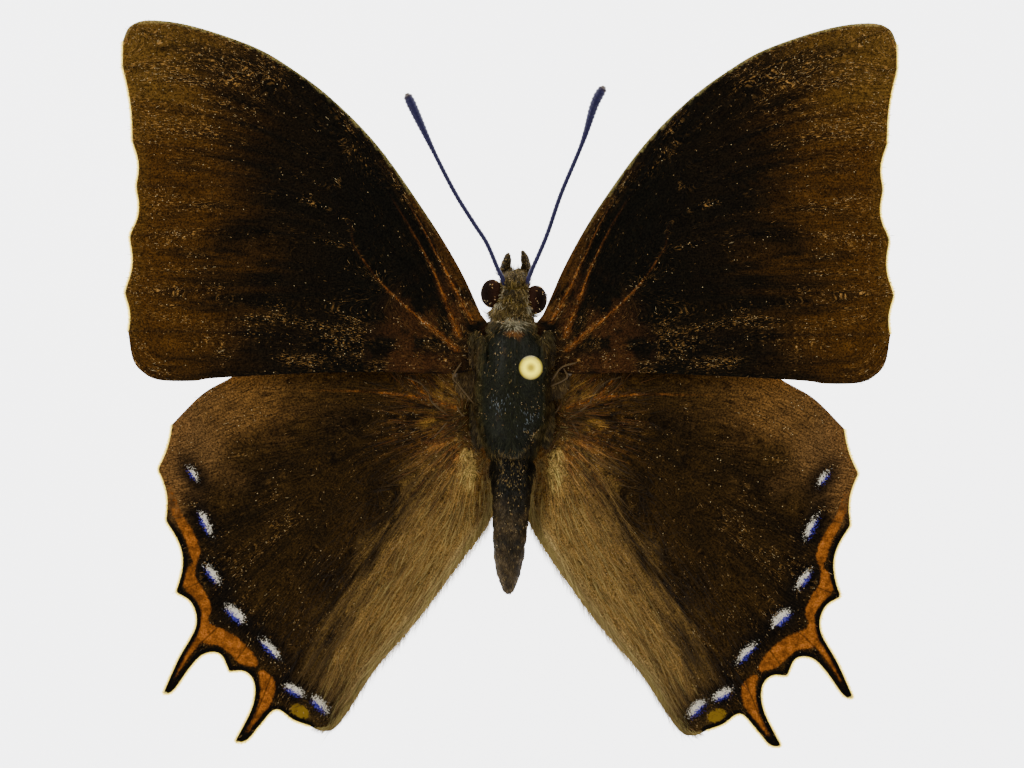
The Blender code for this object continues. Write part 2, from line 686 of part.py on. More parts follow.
def make_base():
    """The plain bar that holds the pin's lower end in a blind hole."""
    bm = bmesh.new()
    length, width, height = BASE_SIZE
    place = Matrix.Translation((0.0, BASE_Y, height / 2)) @ Matrix.Diagonal((length, width, height, 1.0))
    bmesh.ops.create_cube(bm, size=1.0, matrix=place)
    uprights = [e for e in bm.edges if abs(e.verts[0].co.z - e.verts[1].co.z) > height / 2]
    bmesh.ops.bevel(bm, geom=uprights, offset=BASE_CORNER, segments=5, profile=0.5, affect="EDGES")
    rims = [e for e in bm.edges if abs(e.verts[0].co.z - e.verts[1].co.z) < 1e-6
            and e.verts[0].co.z > height / 2 and len(e.link_faces) == 2
            and abs(e.link_faces[0].normal.z - e.link_faces[1].normal.z) > 0.5]
    bmesh.ops.bevel(bm, geom=rims, offset=BASE_EDGE, segments=2, profile=0.5, affect="EDGES")
    base = new_object("stand_base", bm, "stand")
    hole = cylinder(PIN_X, PIN_Y, height - SOCKET_DEPTH, height + 1.0, PIN_RADIUS + GAP)
    apply_boolean(base, "DIFFERENCE", [new_object("pin_socket", hole, "pin")])
    keep_largest_surface(base)


def main():
    clear_scene()
    make_wings()
    make_head()
    make_palps()
    make_antennae()
    make_proboscis()
    make_thorax()
    make_abdomen()
    make_legs()
    make_pin()
    make_base()


main()
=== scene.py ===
"""The looks of a set and pinned two-tailed prince butterfly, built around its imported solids.

Sizes are in millimetres and turned into metres where a mesh is made. +Y is towards the head, +X to
the right seen from above, +Z up. A place on a wing is (out, fore), as in the part's source.
"""

import math

import bmesh
import bpy
import numpy as np
from mathutils import Matrix, Vector
from mathutils.geometry import delaunay_2d_cdt


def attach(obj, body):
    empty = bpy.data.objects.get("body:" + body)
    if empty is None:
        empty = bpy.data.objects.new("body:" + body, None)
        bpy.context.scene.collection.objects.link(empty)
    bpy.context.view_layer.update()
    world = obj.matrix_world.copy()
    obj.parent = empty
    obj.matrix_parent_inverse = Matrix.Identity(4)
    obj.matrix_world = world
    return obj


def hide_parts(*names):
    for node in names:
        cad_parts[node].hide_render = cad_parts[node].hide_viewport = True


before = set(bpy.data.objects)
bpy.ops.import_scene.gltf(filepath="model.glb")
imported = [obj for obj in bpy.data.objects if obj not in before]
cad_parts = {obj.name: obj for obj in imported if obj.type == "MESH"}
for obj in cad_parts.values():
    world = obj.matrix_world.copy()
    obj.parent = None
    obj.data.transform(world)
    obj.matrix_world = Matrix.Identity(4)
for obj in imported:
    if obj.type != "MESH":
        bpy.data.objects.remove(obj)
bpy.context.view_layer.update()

MM = 0.001
RANDOM = np.random.default_rng(41)

# Wings, with the same outlines, veins and heights as the part's source
ROOT_SINK = 0.25  # the wings' roots run this far into the body
FOREWING_Z = 26.3
HINDWING_Z = 25.15
MEMBRANE_HALF = 0.05
ROOT_HALF = 0.22
ROOT_REACH = 2.5
VEIN_RISE = 0.09
VEIN_FOOT = 0.13
EDGE_STEP = 0.25
VEIN_STEP = 0.3
GRID = 0.27
GRID_TO_VEIN = 0.26  # how near the grid's points come to a vein, and to the outline
GRID_TO_EDGE = 0.16
FOOT_TO_EDGE = 0.1
ROOT_OUT = 4.0
WING_SPAN = 28.0
WING_REACH = 30.0
DIHEDRAL_RISE = 1.2
TIP_DROOP = 0.5
EDGE_DROOP = 0.8
GUTTER_OUT = 4.6
GUTTER_WIDTH = 3.2
GUTTER_DEPTH = 1.5
RIGHT_FOREWING_TURN = math.radians(-0.2)
RIGHT_FOREWING_SHIFT = (-0.46, -0.15)
RIGHT_HINDWING_SHIFT = (-0.64, -0.37)
SHIFT_START = 5.0  # from the hinge to where the shift begins, and to where all of it is reached
SHIFT_END = 12.0
FIRST_FOLD = 5.0  # sizes of the dried membrane's shallow folds
SECOND_FOLD = 1.7
FOLD_HEIGHT = 0.14
FOREWING_HINGE = (3.6, 2.8)
HINDWING_HINGE = (3.4, -2.6)
FOREWING_ROOT = (1.3, 4.6)
HINDWING_ROOT = (-5.4, -0.6)

FORE_COSTA = [
    (2.55, 5.75), (4.3, 9.5), (6.9, 13.8), (11.1, 19.75), (15.0, 23.75), (18.3, 26.25),
    (21.5, 28.1), (26.5, 29.8), (30.1, 30.3), (31.8, 29.8), (32.45, 28.5),
]
FORE_MARGIN = [
    ((32.45, 28.5), 0.0), ((32.5, 26.4), 0.05), ((31.8, 23.3), 0.05), ((31.65, 20.1), 0.4),
    ((31.35, 16.4), 0.55), ((31.9, 12.3), 0.5), ((32.3, 7.6), 0.3), ((31.9, 4.4), 0.0),
]
FORE_INNER = [
    (31.9, 4.4), (31.5, 2.1), (30.7, 1.0), (29.3, 0.33), (26.5, 0.25), (24.5, 0.5),
    (17.0, 0.9), (10.5, 1.0), (6.0, 0.85), (4.3, 0.9),
]
HIND_COSTA = [
    (4.2, 0.0), (6.5, 2.0), (11.0, 3.0), (17.0, 2.8), (21.0, 1.9), (23.7, 0.4), (25.9, -0.9),
    (28.4, -3.4),
]
HIND_MARGIN = [
    ((28.4, -3.4), 0.2), ((29.6, -7.1), 0.42), ((28.95, -11.45), 1.0), ((28.15, -17.4), 0.0),
]
FIRST_TAIL_OUTER = [(28.15, -17.4), (26.8, -18.3), (26.45, -20.2), (27.9, -22.9), (29.25, -25.9)]
FIRST_TAIL_INNER = [
    (29.25, -25.9), (28.35, -25.75), (26.8, -23.65), (25.7, -22.6), (24.4, -22.6), (23.65, -24.1),
]
SECOND_TAIL_OUTER = [
    (23.65, -24.1), (22.4, -24.05), (21.6, -24.95), (21.75, -26.9), (23.25, -29.95),
]
SECOND_TAIL_INNER = [
    (23.25, -29.95), (22.2, -29.9), (20.9, -28.4), (19.7, -27.25), (18.3, -28.15), (16.9, -28.65),
]
HIND_INNER = [
    (16.9, -28.65), (15.7, -29.05), (14.4, -28.35), (11.4, -23.85), (7.9, -19.75), (4.2, -14.75),
    (1.9, -11.6), (1.25, -9.3), (1.45, -7.0),
]

# Each vein with its place in the count from the front edge to the rear one
FORE_CELL_FORK = (13.6, 19.8)
FORE_CUBITAL_FORKS = [(10.2, 7.7), (13.0, 11.3), (14.3, 14.2)]
FORE_CELL_END = [(14.9, 16.4), (14.6, 18.3)]
FOREWING_VEINS = [
    (0.6, [(3.3, 5.3), (4.9, 8.2), (7.1, 12.4), (9.3, 16.1), (12.2, 20.0), (15.0, 23.75)]),
    (1.3, [(4.4, 4.0), (6.5, 9.3), (8.4, 12.8), (10.9, 16.8), FORE_CELL_FORK, (20.0, 24.6),
           (26.0, 27.7), (31.8, 29.8)]),
    (1.0, [(10.9, 16.8), (13.6, 21.3), (18.3, 26.25)]),
    (1.7, [(20.0, 24.6), (26.5, 26.2), (32.5, 26.4)]),
    (2.4, [FORE_CELL_FORK, FORE_CELL_END[1], (22.0, 21.6), (31.8, 23.3)]),
    (3.2, [FORE_CELL_END[1], FORE_CELL_END[0], (22.0, 18.9), (31.65, 20.1)]),
    (3.7, [FORE_CELL_END[0], FORE_CUBITAL_FORKS[2]]),
    (4.2, [(4.6, 2.9), *FORE_CUBITAL_FORKS, (22.0, 16.3), (31.35, 16.4)]),
    (5.3, [FORE_CUBITAL_FORKS[1], (21.0, 12.7), (31.9, 12.3)]),
    (6.5, [FORE_CUBITAL_FORKS[0], (20.0, 7.9), (32.3, 7.6)]),
    (7.4, [(4.6, 1.9), (12.0, 3.2), (22.0, 4.2), (31.9, 4.4)]),
]
FORE_REAR_COUNT = 8.4
FORE_RUSTY = (0, 1, 7)  # the veins that are rust brown near the root
HIND_STEM_FORK = (13.0, -4.1)
HIND_CELL_END = [(15.4, -6.8), (14.6, -9.6)]
HIND_CUBITAL_FORK = (11.4, -8.6)
HINDWING_VEINS = [
    (0.7, [(4.6, -2.0), (6.9, -1.2), (8.4, 0.3)]),
    (1.0, [(6.9, -1.2), (13.0, -0.6), (20.5, -0.9), (28.4, -3.4)]),
    (2.0, [(4.6, -3.0), (8.5, -3.3), HIND_STEM_FORK, (20.5, -5.6), (29.6, -7.1)]),
    (3.0, [HIND_STEM_FORK, HIND_CELL_END[0], (21.5, -9.4), (28.95, -11.45)]),
    (4.2, [HIND_CELL_END[0], HIND_CELL_END[1], (19.8, -12.4), (24.2, -15.6), (28.0, -17.4)]),
    (5.2, [HIND_CUBITAL_FORK, HIND_CELL_END[1], (18.9, -14.7), (23.4, -19.2), (26.3, -22.0),
           (28.0, -24.4)]),
    (6.0, [HIND_CELL_END[1], (17.6, -15.6), (21.0, -20.3), (23.6, -23.8)]),
    (6.8, [(4.4, -4.2), (7.6, -6.0), HIND_CUBITAL_FORK, (15.7, -15.6), (19.0, -21.3),
           (20.5, -25.4), (21.7, -28.2)]),
    (8.0, [(3.9, -5.4), (7.7, -10.8), (12.0, -18.4), (15.3, -24.6), (16.9, -28.3)]),
    (9.0, [(3.2, -7.6), (4.6, -11.5), (8.0, -17.0), (11.6, -22.2)]),
]
HIND_REAR_COUNT = 10.0
HIND_RUSTY = (0, 1)

# The row of spots on the hindwing: centre, half length, half width and the way its length points
SPOTS = [
    ((26.6, -7.5), 0.52, 0.24, (-0.69, -1.0)), ((25.6, -11.6), 0.86, 0.28, (-0.97, -2.0)),
    ((25.0, -15.9), 0.76, 0.33, (-1.23, -1.7)), ((23.1, -19.2), 0.88, 0.44, (-1.85, -1.7)),
    ((20.2, -22.1), 0.88, 0.3, (-1.7, -1.77)), ((18.2, -25.6), 0.76, 0.38, (-1.7, -0.9)),
    ((16.05, -26.8), 0.84, 0.4, (-1.5, -1.45)),
]
# The orange border, as (out, fore, half width) along its middle; it breaks where a vein crosses it
BORDER_MAIN = [
    (28.5, -8.6, 0.1), (28.24, -9.95, 0.3), (27.8, -11.1, 0.38), (26.97, -12.5, 0.42),
    (26.46, -14.0, 0.44), (26.5, -14.95, 0.14), (26.97, -16.3, 0.62), (26.0, -17.7, 0.5),
    (25.55, -18.7, 0.42), (25.65, -19.7, 0.3), (25.5, -20.8, 0.82), (24.3, -21.15, 0.68),
    (23.2, -21.9, 0.72), (22.4, -22.7, 0.72), (21.5, -23.35, 0.3),
]
BORDER_FIRST_TAIL = [(25.8, -20.9, 0.6), (26.4, -21.4, 0.45), (27.2, -22.7, 0.3), (28.2, -24.4, 0.16)]
BORDER_STEP = 0.12
BORDER_SECOND_TAIL = [
    (20.9, -24.15, 0.28), (20.4, -25.1, 0.6), (20.6, -26.4, 0.52), (21.2, -27.6, 0.3),
    (22.1, -29.0, 0.14),
]
CREAM_PATCH = ((3.6, -7.1), (0.85, 1.9))  # its centre and size, near the hindwing's root
OCHRE_PATCH = ((17.75, -27.35), 0.85, 0.5, (-1.0, -0.5))
# The line behind which the hindwing is pale and hairy, as (fore, out)
PALE_ZONE = [(-26.3, 15.5), (-23.0, 14.3), (-18.0, 12.2), (-14.7, 10.1), (-9.7, 6.8), (-5.0, 4.0)]

# Body, as (fore, out of the midline, half width, middle height, half height)
HEAD_RINGS = [
    (9.25, 0.36, 0.35, 24.85, 0.40), (9.0, 0.33, 0.85, 24.9, 0.95), (8.4, 0.26, 1.35, 25.0, 1.5),
    (7.6, 0.17, 1.75, 25.05, 1.85), (6.8, 0.10, 1.95, 25.05, 1.85), (6.1, 0.04, 1.8, 25.0, 1.6),
    (5.55, 0.0, 1.15, 25.0, 1.15),
]
THORAX_RINGS = [
    (5.25, 0.0, 1.15, 25.0, 1.15), (4.95, 0.0, 1.95, 25.1, 1.85), (4.3, 0.0, 2.45, 25.1, 2.5),
    (3.2, 0.0, 2.8, 25.05, 3.0), (1.8, 0.0, 3.05, 25.05, 3.3), (0.2, 0.0, 3.2, 25.1, 3.45),
    (-1.6, 0.0, 3.2, 25.1, 3.45), (-3.2, 0.0, 2.95, 25.15, 3.2), (-4.6, 0.0, 2.5, 25.2, 2.75),
    (-5.6, 0.0, 2.0, 25.3, 2.2), (-6.1, 0.0, 1.45, 25.4, 1.5),
]
NECK_RINGS = [(6.1, 0.03, 1.3, 25.0, 1.2), (4.7, 0.0, 1.45, 25.05, 1.35)]
WAIST_RINGS = [
    (-5.3, 0.0, 1.7, 25.35, 1.75), (-6.0, 0.0, 1.4, 25.4, 1.4), (-6.9, 0.0, 1.45, 25.4, 1.4),
]
COAT_DEPTH = 0.1  # the skin lies this far inside the solids
RING_STEP = 0.35
ABDOMEN_START = -6.4
ABDOMEN_END = -17.5
ABDOMEN_SEGMENTS = 8
RINGS_IN_SEGMENT = 8
SEGMENT_STEP = 0.1
ABDOMEN_PROFILE = [
    (0.0, 1.45), (0.15, 1.7), (0.4, 1.55), (0.58, 1.45), (0.75, 1.28), (0.9, 0.88), (1.0, 0.35),
]
ABDOMEN_DEPTH = 0.97
ABDOMEN_LEAN = -0.3
ABDOMEN_TOP = 25.4
ABDOMEN_FALL = 0.5
EYE_RADII = (0.95, 1.2, 1.45)
EYES = {"left": (-1.67, 7.55, 25.2), "right": (1.98, 7.05, 25.2)}
EYE_TUFTS = [(-0.8, 7.6), (-0.95, 6.7), (1.2, 7.4), (1.3, 6.4)]  # white tufts at the eyes' rims
PALP_PATHS = {
    "left": [(-0.3, 8.3, 23.9), (-0.5, 9.15, 23.45), (-0.55, 9.75, 23.85), (-0.42, 10.4, 24.45),
             (-0.28, 10.95, 25.1)],
    "right": [(0.8, 8.2, 23.9), (1.15, 9.1, 23.45), (1.2, 9.8, 23.85), (1.08, 10.55, 24.45),
              (0.85, 11.15, 25.1)],
}
PALP_RADII = [0.3, 0.3, 0.38, 0.34, 0.08]
TEGULA_RADII = (0.62, 1.9, 0.5)
TEGULA_CENTRE = (2.75, 2.3, 27.5)
# The lobes on each side: two at the forewing's root, one at the hindwing's, two that carry the legs
SIDE_LOBES = [
    ((3.0, 2.9, 26.3), (0.7, 1.7, 0.32)), ((3.3, 0.3, 25.6), (1.5, 1.5, 0.24)),
    ((2.8, -2.9, 25.15), (0.7, 2.4, 0.3)), ((1.7, -3.4, 22.6), (0.9, 1.4, 0.9)),
    ((1.8, 0.9, 22.4), (0.9, 1.6, 0.9)),
]
SCUTELLUM_RADII = (1.45, 1.2, 0.75)
SCUTELLUM_CENTRE = (0.0, -5.0, 27.4)
ANTENNA_PATHS = {
    "left": [
        (-0.6, 8.3, 26.05), (-0.8, 8.8, 26.25), (-1.15, 9.5, 26.5), (-2.1, 11.7, 26.8),
        (-3.2, 13.4, 26.95), (-4.75, 15.9, 27.1), (-6.6, 19.5, 27.3), (-8.75, 24.1, 27.5),
    ],
    "right": [
        (1.2, 8.2, 26.05), (1.35, 8.65, 26.3), (1.6, 9.35, 26.55), (2.87, 12.3, 26.8),
        (4.08, 15.8, 27.05), (5.83, 20.0, 27.3), (6.85, 23.2, 27.45), (7.65, 24.7, 27.55),
    ],
}
SHIELD_POINT = (0.2, -6.2)  # the rear point of the dark shield on the back
TRUNK_REAR, TRUNK_FRONT, TRUNK_LOW = -6.6, 4.6, 24.6
SKIN_VOXEL = 0.1
SMOOTHINGS = 2
TRUNK_SMOOTHINGS = 14
PALP_STEP = 0.12
PALP_SIDES = 16
ANTENNA_RADIUS = 0.19
ANTENNA_SIDES = 16
CLUB_LENGTH = 5.5
CLUB_SHAPE = [(0.0, ANTENNA_RADIUS), (0.3, 0.27), (0.6, 0.37), (0.84, 0.42), (0.95, 0.37), (1.0, 0.15)]
ANTENNA_JOINT = 0.36  # length of one joint of the feeler
PROBOSCIS_ROOT = (8.5, 23.7)
PROBOSCIS_CENTRE = (0.35, 8.55, 22.15)
PROBOSCIS_STEPS = 90
PROBOSCIS_SIDES = 12
PROBOSCIS_OUTER = 1.05
PROBOSCIS_INNER = 0.3
PROBOSCIS_TURNS = 1.6
PROBOSCIS_START = math.radians(80)
PROBOSCIS_RADIUS = 0.15
LEG_PATHS = {
    "fore": [
        (0.8, 4.2, 22.6), (0.95, 4.75, 21.4), (0.95, 5.5, 21.1), (0.75, 6.5, 21.45), (0.6, 7.3, 21.9),
    ],
    "mid": [
        (2.0, 2.3, 22.5), (2.65, 3.5, 21.4), (2.95, 3.75, 20.3), (2.85, 2.6, 19.7), (2.6, 0.0, 19.0),
        (2.2, -3.2, 18.3),
    ],
    "hind": [
        (1.7, -2.2, 22.2), (2.9, -1.0, 21.4), (3.35, -0.9, 20.6), (3.25, -2.2, 20.1),
        (3.0, -4.6, 19.6), (2.4, -8.2, 19.0),
    ],
}
LEG_SHAPE = [(0.0, 0.3), (0.3, 0.27), (0.42, 0.2), (0.7, 0.16), (0.75, 0.12), (0.97, 0.1), (1.0, 0.05)]
LEG_STEP = 0.12
LEG_SIDES = 12
SPINE_RADII = [0.03, 0.02, 0.006]
SPINE_SIDES = 5
PIN_X = 1.5
PIN_Y = 1.3
PIN_RADIUS = 0.22
PIN_FOOT = 1.6
PIN_TOP = 39.6
PIN_HEAD_RADIUS = 0.97
SHAFT_IN_HEAD = 0.2  # how far the shaft runs into the bead
RIDGE_RADIUS = 0.08
RIDGE_STEP = 0.1
RIDGE_SIDES = 10

# Coat: places tried on each wing and on the body, of which a share is kept, and tufts along edges
SCALE_TRIES = 42000
WING_HAIR_TRIES = 40000
EDGE_HAIRS = 4200
BODY_HAIR_TRIES = 42000
BODY_SCALE_TRIES = 34000
EYE_SCALES = 38
COAT_LIFT = 0.004  # the tufts' roots stand this far above the membrane
FRINGE_LENGTH = 0.2
FRINGE_RADIUS = 0.034
FRINGE_SPACING = 0.022
EDGE_HAIR_RADIUS = 0.008
MAP_RIM = 0.02  # the part of a map that is left free along its edges
UPRIGHT = (0.0, 0.0, 1.0)

# Camera and light, in metres
CAMERA_HEIGHT = 0.326
LENS = 126.56
FLOOR_SIZE = 3.0
LIGHTS = [
    ("key", (-0.55, 0.45, 0.6), 0.5, 4.0), ("fill", (0.6, 0.35, 0.55), 0.6, 2.6),
    ("rear", (0.25, -0.7, 0.5), 0.6, 2.2), ("left_rear", (-0.6, -0.4, 0.45), 0.5, 1.8),
]
LIGHT_TARGET = (0.0, 0.0, 0.02)


def colour(code):
    """A linear colour from its sRGB hex value."""
    parts = [int(code[i:i + 2], 16) / 255 for i in (1, 3, 5)]
    return tuple(c / 12.92 if c <= 0.04045 else ((c + 0.055) / 1.055) ** 2.4 for c in parts)


def add(tree, kind, inputs=None, result=0, **settings):
    """Adds a shader node with its settings and links, and returns the output that is asked for."""
    made = tree.nodes.new("ShaderNode" + kind)
    for key, value in settings.items():
        setattr(made, key, value)
    for key, value in (inputs or {}).items():
        if isinstance(value, bpy.types.NodeSocket):
            tree.links.new(value, made.inputs[key])
        else:
            made.inputs[key].default_value = value
    return made.outputs[result]


def new_material(name, roughness, specular=0.5, metallic=0.0):
    """A material with only its shader's own values set; returns it, its tree and its shader."""
    material = bpy.data.materials.new(name)
    material.use_nodes = True
    tree = material.node_tree
    shader = tree.nodes["Principled BSDF"]
    shader.inputs["Roughness"].default_value = roughness
    shader.inputs["Specular IOR Level"].default_value = specular
    shader.inputs["Metallic"].default_value = metallic
    return material, tree, shader


def curve_through(points, step):
    """A smooth curve through the points, sampled about this far apart, that keeps the points."""
    points = np.array(points, float)
    ends = np.vstack([2 * points[0] - points[1], points, 2 * points[-1] - points[-2]])
    result = []
    for before, start, end, after in zip(ends, ends[1:], ends[2:], ends[3:]):
        count = max(1, round(float(np.linalg.norm(end - start)) / step))
        t = (np.arange(count) / count)[:, None]
        result.append(0.5 * (2 * start + (end - before) * t
                             + (2 * before - 5 * start + 4 * end - after) * t ** 2
                             + (3 * start - 3 * end + after - before) * t ** 3))
    return np.vstack([*result, points[-1:]])


def scalloped_edge(margin, step):
    """The outer edge: a hollow arc of the given depth between each vein's end and the next."""
    points = []
    for ((start, depth), (end, _)) in zip(margin, margin[1:]):
        start, end = np.array(start), np.array(end)
        chord = end - start
        inward = np.array([chord[1], -chord[0]]) / np.linalg.norm(chord)
        count = max(4, round(float(np.linalg.norm(chord)) / step))
        t = (np.arange(count) / count)[:, None]
        points.append(start + chord * t + inward * depth * np.sin(math.pi * t))
    return np.vstack([*points, [margin[-1][0]]])


def rounded(line, times):
    """The line with its points smoothed this many times, so that its cusps are blunt."""
    for _ in range(times):
        line = np.vstack([line[:1], 0.25 * line[:-2] + 0.5 * line[1:-1] + 0.25 * line[2:], line[-1:]])
    return line


def ease(low, high, value):
    """A smooth step from 0 at low to 1 at high; low may be the greater."""
    t = np.clip((value - low) / (high - low), 0.0, 1.0)
    return t * t * (3.0 - 2.0 * t)


def thorax_side(fore, height):
    """How far out the side of the thorax lies at this place and height."""
    rings = np.array(THORAX_RINGS[::-1])
    width, middle, half = (np.interp(fore, rings[:, 0], rings[:, i]) for i in (2, 3, 4))
    return width * np.sqrt(np.maximum(0.0, 1.0 - ((height - middle) / half) ** 2))


def root_edge(rear, front, height):
    """The wing's edge along the body, sunk a little into the thorax."""
    places = np.linspace(rear, front, 14)
    return np.stack([thorax_side(places, height) - ROOT_SINK, places], axis=1)


def distance_to_line(points, line):
    """How far each point is from the nearest place on an open line."""
    start, along = line[:-1], np.diff(line, axis=0)
    length = np.maximum((along ** 2).sum(axis=1), 1e-12)
    result = []
    for part in np.array_split(points, len(points) // 4000 + 1):
        offset = part[:, None] - start
        share = np.clip((offset * along).sum(axis=2) / length, 0.0, 1.0)
        result.append(np.sqrt(((offset - share[..., None] * along) ** 2).sum(axis=2)).min(axis=1))
    return np.concatenate(result)


def is_inside(points, outline):
    """Which of the points lie inside the closed outline."""
    x, y = points[:, :1], points[:, 1:2]
    x1, y1 = outline.T
    x2, y2 = np.roll(outline, -1, axis=0).T
    rise = np.where(y2 == y1, 1e-9, y2 - y1)
    crosses = ((y1 > y) != (y2 > y)) & (x < x1 + (y - y1) * (x2 - x1) / rise)
    return crosses.sum(axis=1) % 2 == 1


def soft_noise(points, size, seed):
    """Smooth random values from 0 to 1 over the plane, with lumps of about this size."""
    lattice = np.random.default_rng(seed).random((64, 64))
    place = points / size + 100.0
    corner = np.floor(place).astype(int)
    share = place - corner
    share = share * share * (3 - 2 * share)
    x, y = corner[:, 0] % 64, corner[:, 1] % 64
    nx, ny = (x + 1) % 64, (y + 1) % 64
    lower = lattice[x, y] * (1 - share[:, 0]) + lattice[nx, y] * share[:, 0]
    upper = lattice[x, ny] * (1 - share[:, 0]) + lattice[nx, ny] * share[:, 0]
    return lower * (1 - share[:, 1]) + upper * share[:, 1]


def mix(first, second, share):
    """Rows of colours, part of the way from the first to the second."""
    return first + (np.asarray(second) - first) * np.asarray(share)[..., None]


def make_forewing():
    """The forewing's edges and veins, as smooth lines, and what sets it."""
    costa = curve_through(FORE_COSTA, EDGE_STEP)
    margin = rounded(scalloped_edge(FORE_MARGIN, EDGE_STEP), 4)
    inner = curve_through(FORE_INNER, EDGE_STEP)
    root = root_edge(*FOREWING_ROOT, FOREWING_Z)
    return {
        "outline": np.vstack([costa[:-1], margin[:-1], inner, root]),
        "costa": costa, "margin": margin, "inner": inner,
        "veins": [curve_through(line, VEIN_STEP) for _, line in FOREWING_VEINS],
        "counts": [count for count, _ in FOREWING_VEINS], "rear_count": FORE_REAR_COUNT,
        "rusty": FORE_RUSTY, "z": FOREWING_Z, "hinge": np.array(FOREWING_HINGE), "dips": False,
        "turn": RIGHT_FOREWING_TURN, "shift": np.array(RIGHT_FOREWING_SHIFT),
    }


def make_hindwing():
    """The same for the hindwing, whose outer edge has the two tails."""
    costa = curve_through(HIND_COSTA, EDGE_STEP)
    lines = [scalloped_edge(HIND_MARGIN, EDGE_STEP)]
    for tail in (FIRST_TAIL_OUTER, FIRST_TAIL_INNER, SECOND_TAIL_OUTER, SECOND_TAIL_INNER):
        lines.append(curve_through(tail, EDGE_STEP)[1:])
    margin = rounded(np.vstack(lines), 1)
    inner = curve_through(HIND_INNER, EDGE_STEP)
    root = root_edge(*HINDWING_ROOT, HINDWING_Z)
    return {
        "outline": np.vstack([costa[:-1], margin[:-1], inner, root]),
        "costa": costa, "margin": margin, "inner": inner,
        "veins": [curve_through(line, VEIN_STEP) for _, line in HINDWING_VEINS],
        "counts": [count for count, _ in HINDWING_VEINS], "rear_count": HIND_REAR_COUNT,
        "rusty": HIND_RUSTY, "z": HINDWING_Z, "hinge": np.array(HINDWING_HINGE), "dips": True,
        "turn": 0.0, "shift": np.array(RIGHT_HINDWING_SHIFT),
    }


def vein_distance(wing, points):
    """How far each point is from the nearest vein."""
    return np.min([distance_to_line(points, line) for line in wing["veins"]], axis=0)


def vein_count(wing, points):
    """A smooth count from the front edge to the rear one; its level lines follow the veins."""
    lines = [np.vstack([line[::4], line[-1:]]) for line in (wing["costa"], *wing["veins"], wing["inner"])]
    counts = [0.0, *wing["counts"], wing["rear_count"]]
    nearness = np.array([1.0 / (distance_to_line(points, line) ** 2 + 0.05) for line in lines])
    return (nearness * np.array(counts)[:, None]).sum(axis=0) / nearness.sum(axis=0)


def even_count(wing, count):
    """The count made to grow evenly from each vein to the next, for patterns that are laid on it."""
    marks = np.array([0.0, *wing["counts"], wing["rear_count"]])
    low = np.clip(np.searchsorted(marks, count, "right") - 1, 0, len(marks) - 2)
    step = marks[low + 1] - marks[low]
    share = np.clip((count - marks[low]) / step, 0.002, 0.998)
    near_low, near_high = np.sqrt(1.0 - share), np.sqrt(share)
    return marks[low] + step * near_high / (near_low + near_high)


def vein_direction(wing, points):
    """The way the veins run at each point, away from the root."""
    step = 0.08
    ahead = vein_count(wing, points + (step, 0.0)) - vein_count(wing, points - (step, 0.0))
    aside = vein_count(wing, points + (0.0, step)) - vein_count(wing, points - (0.0, step))
    along = np.stack([aside, -ahead], axis=1)
    out = points - wing["hinge"]
    along *= np.sign((along * out).sum(axis=1) + 1e-9)[:, None]
    along /= np.linalg.norm(along, axis=1)[:, None] + 1e-9
    along += 0.35 * out / (np.linalg.norm(out, axis=1)[:, None] + 1e-9)
    return along / np.linalg.norm(along, axis=1)[:, None]


def wing_middle(wing, points):
    """Height of the middle of the membrane, with the shallow folds of a dried wing."""
    out, fore = points.T
    share = (out - ROOT_OUT) / WING_SPAN
    height = DIHEDRAL_RISE * share - TIP_DROOP * share ** 2 - EDGE_DROOP * (fore / WING_REACH) ** 2
    if wing["dips"]:
        height = height - GUTTER_DEPTH * ease(GUTTER_OUT, GUTTER_OUT - GUTTER_WIDTH, out)
    folds = soft_noise(points, FIRST_FOLD, 3) + 0.4 * soft_noise(points, SECOND_FOLD, 4)
    return wing["z"] + height + FOLD_HEIGHT * (folds - 0.7) * ease(1.0, 6.0, out - ROOT_OUT)


def wing_half(wing, points, veins=None):
    """Half the membrane's thickness, greater at the stiff root and on the veins."""
    reach = np.linalg.norm(points - wing["hinge"], axis=1)
    root = np.maximum(0.0, 1.0 - reach / ROOT_REACH)
    veins = vein_distance(wing, points) if veins is None else veins
    crest = VEIN_RISE * (0.5 if wing["dips"] else 1.0)
    crest = crest * (1.0 - 0.6 * np.clip(reach / WING_REACH, 0.0, 1.0))
    ridge = crest * np.clip(1.0 - veins / VEIN_FOOT, 0.0, 1.0)
    return MEMBRANE_HALF + (ROOT_HALF - MEMBRANE_HALF) * root + ridge


def on_wing(wing, side, points, height):
    """Places on a wing's plan, at these heights, in the row frame."""
    turn = wing["turn"] if side > 0 else 0.0
    c, s = math.cos(turn), math.sin(turn)
    offset = points - wing["hinge"]
    share = (np.linalg.norm(offset, axis=1) - SHIFT_START) / (SHIFT_END - SHIFT_START)
    share = np.clip(share, 0.0, 1.0) if side > 0 else 0.0
    x = offset[:, 0] * c - offset[:, 1] * s + wing["hinge"][0] + share * wing["shift"][0]
    y = offset[:, 0] * s + offset[:, 1] * c + wing["hinge"][1] + share * wing["shift"][1]
    return np.stack([side * x, y, height], axis=1)


def turned_on_wing(wing, side, ways):
    """Ways on a wing's plan, in the row frame."""
    turn = wing["turn"] if side > 0 else 0.0
    c, s = math.cos(turn), math.sin(turn)
    x, y = ways.T
    return np.stack([side * (x * c - y * s), x * s + y * c, np.zeros(len(ways))], axis=1)


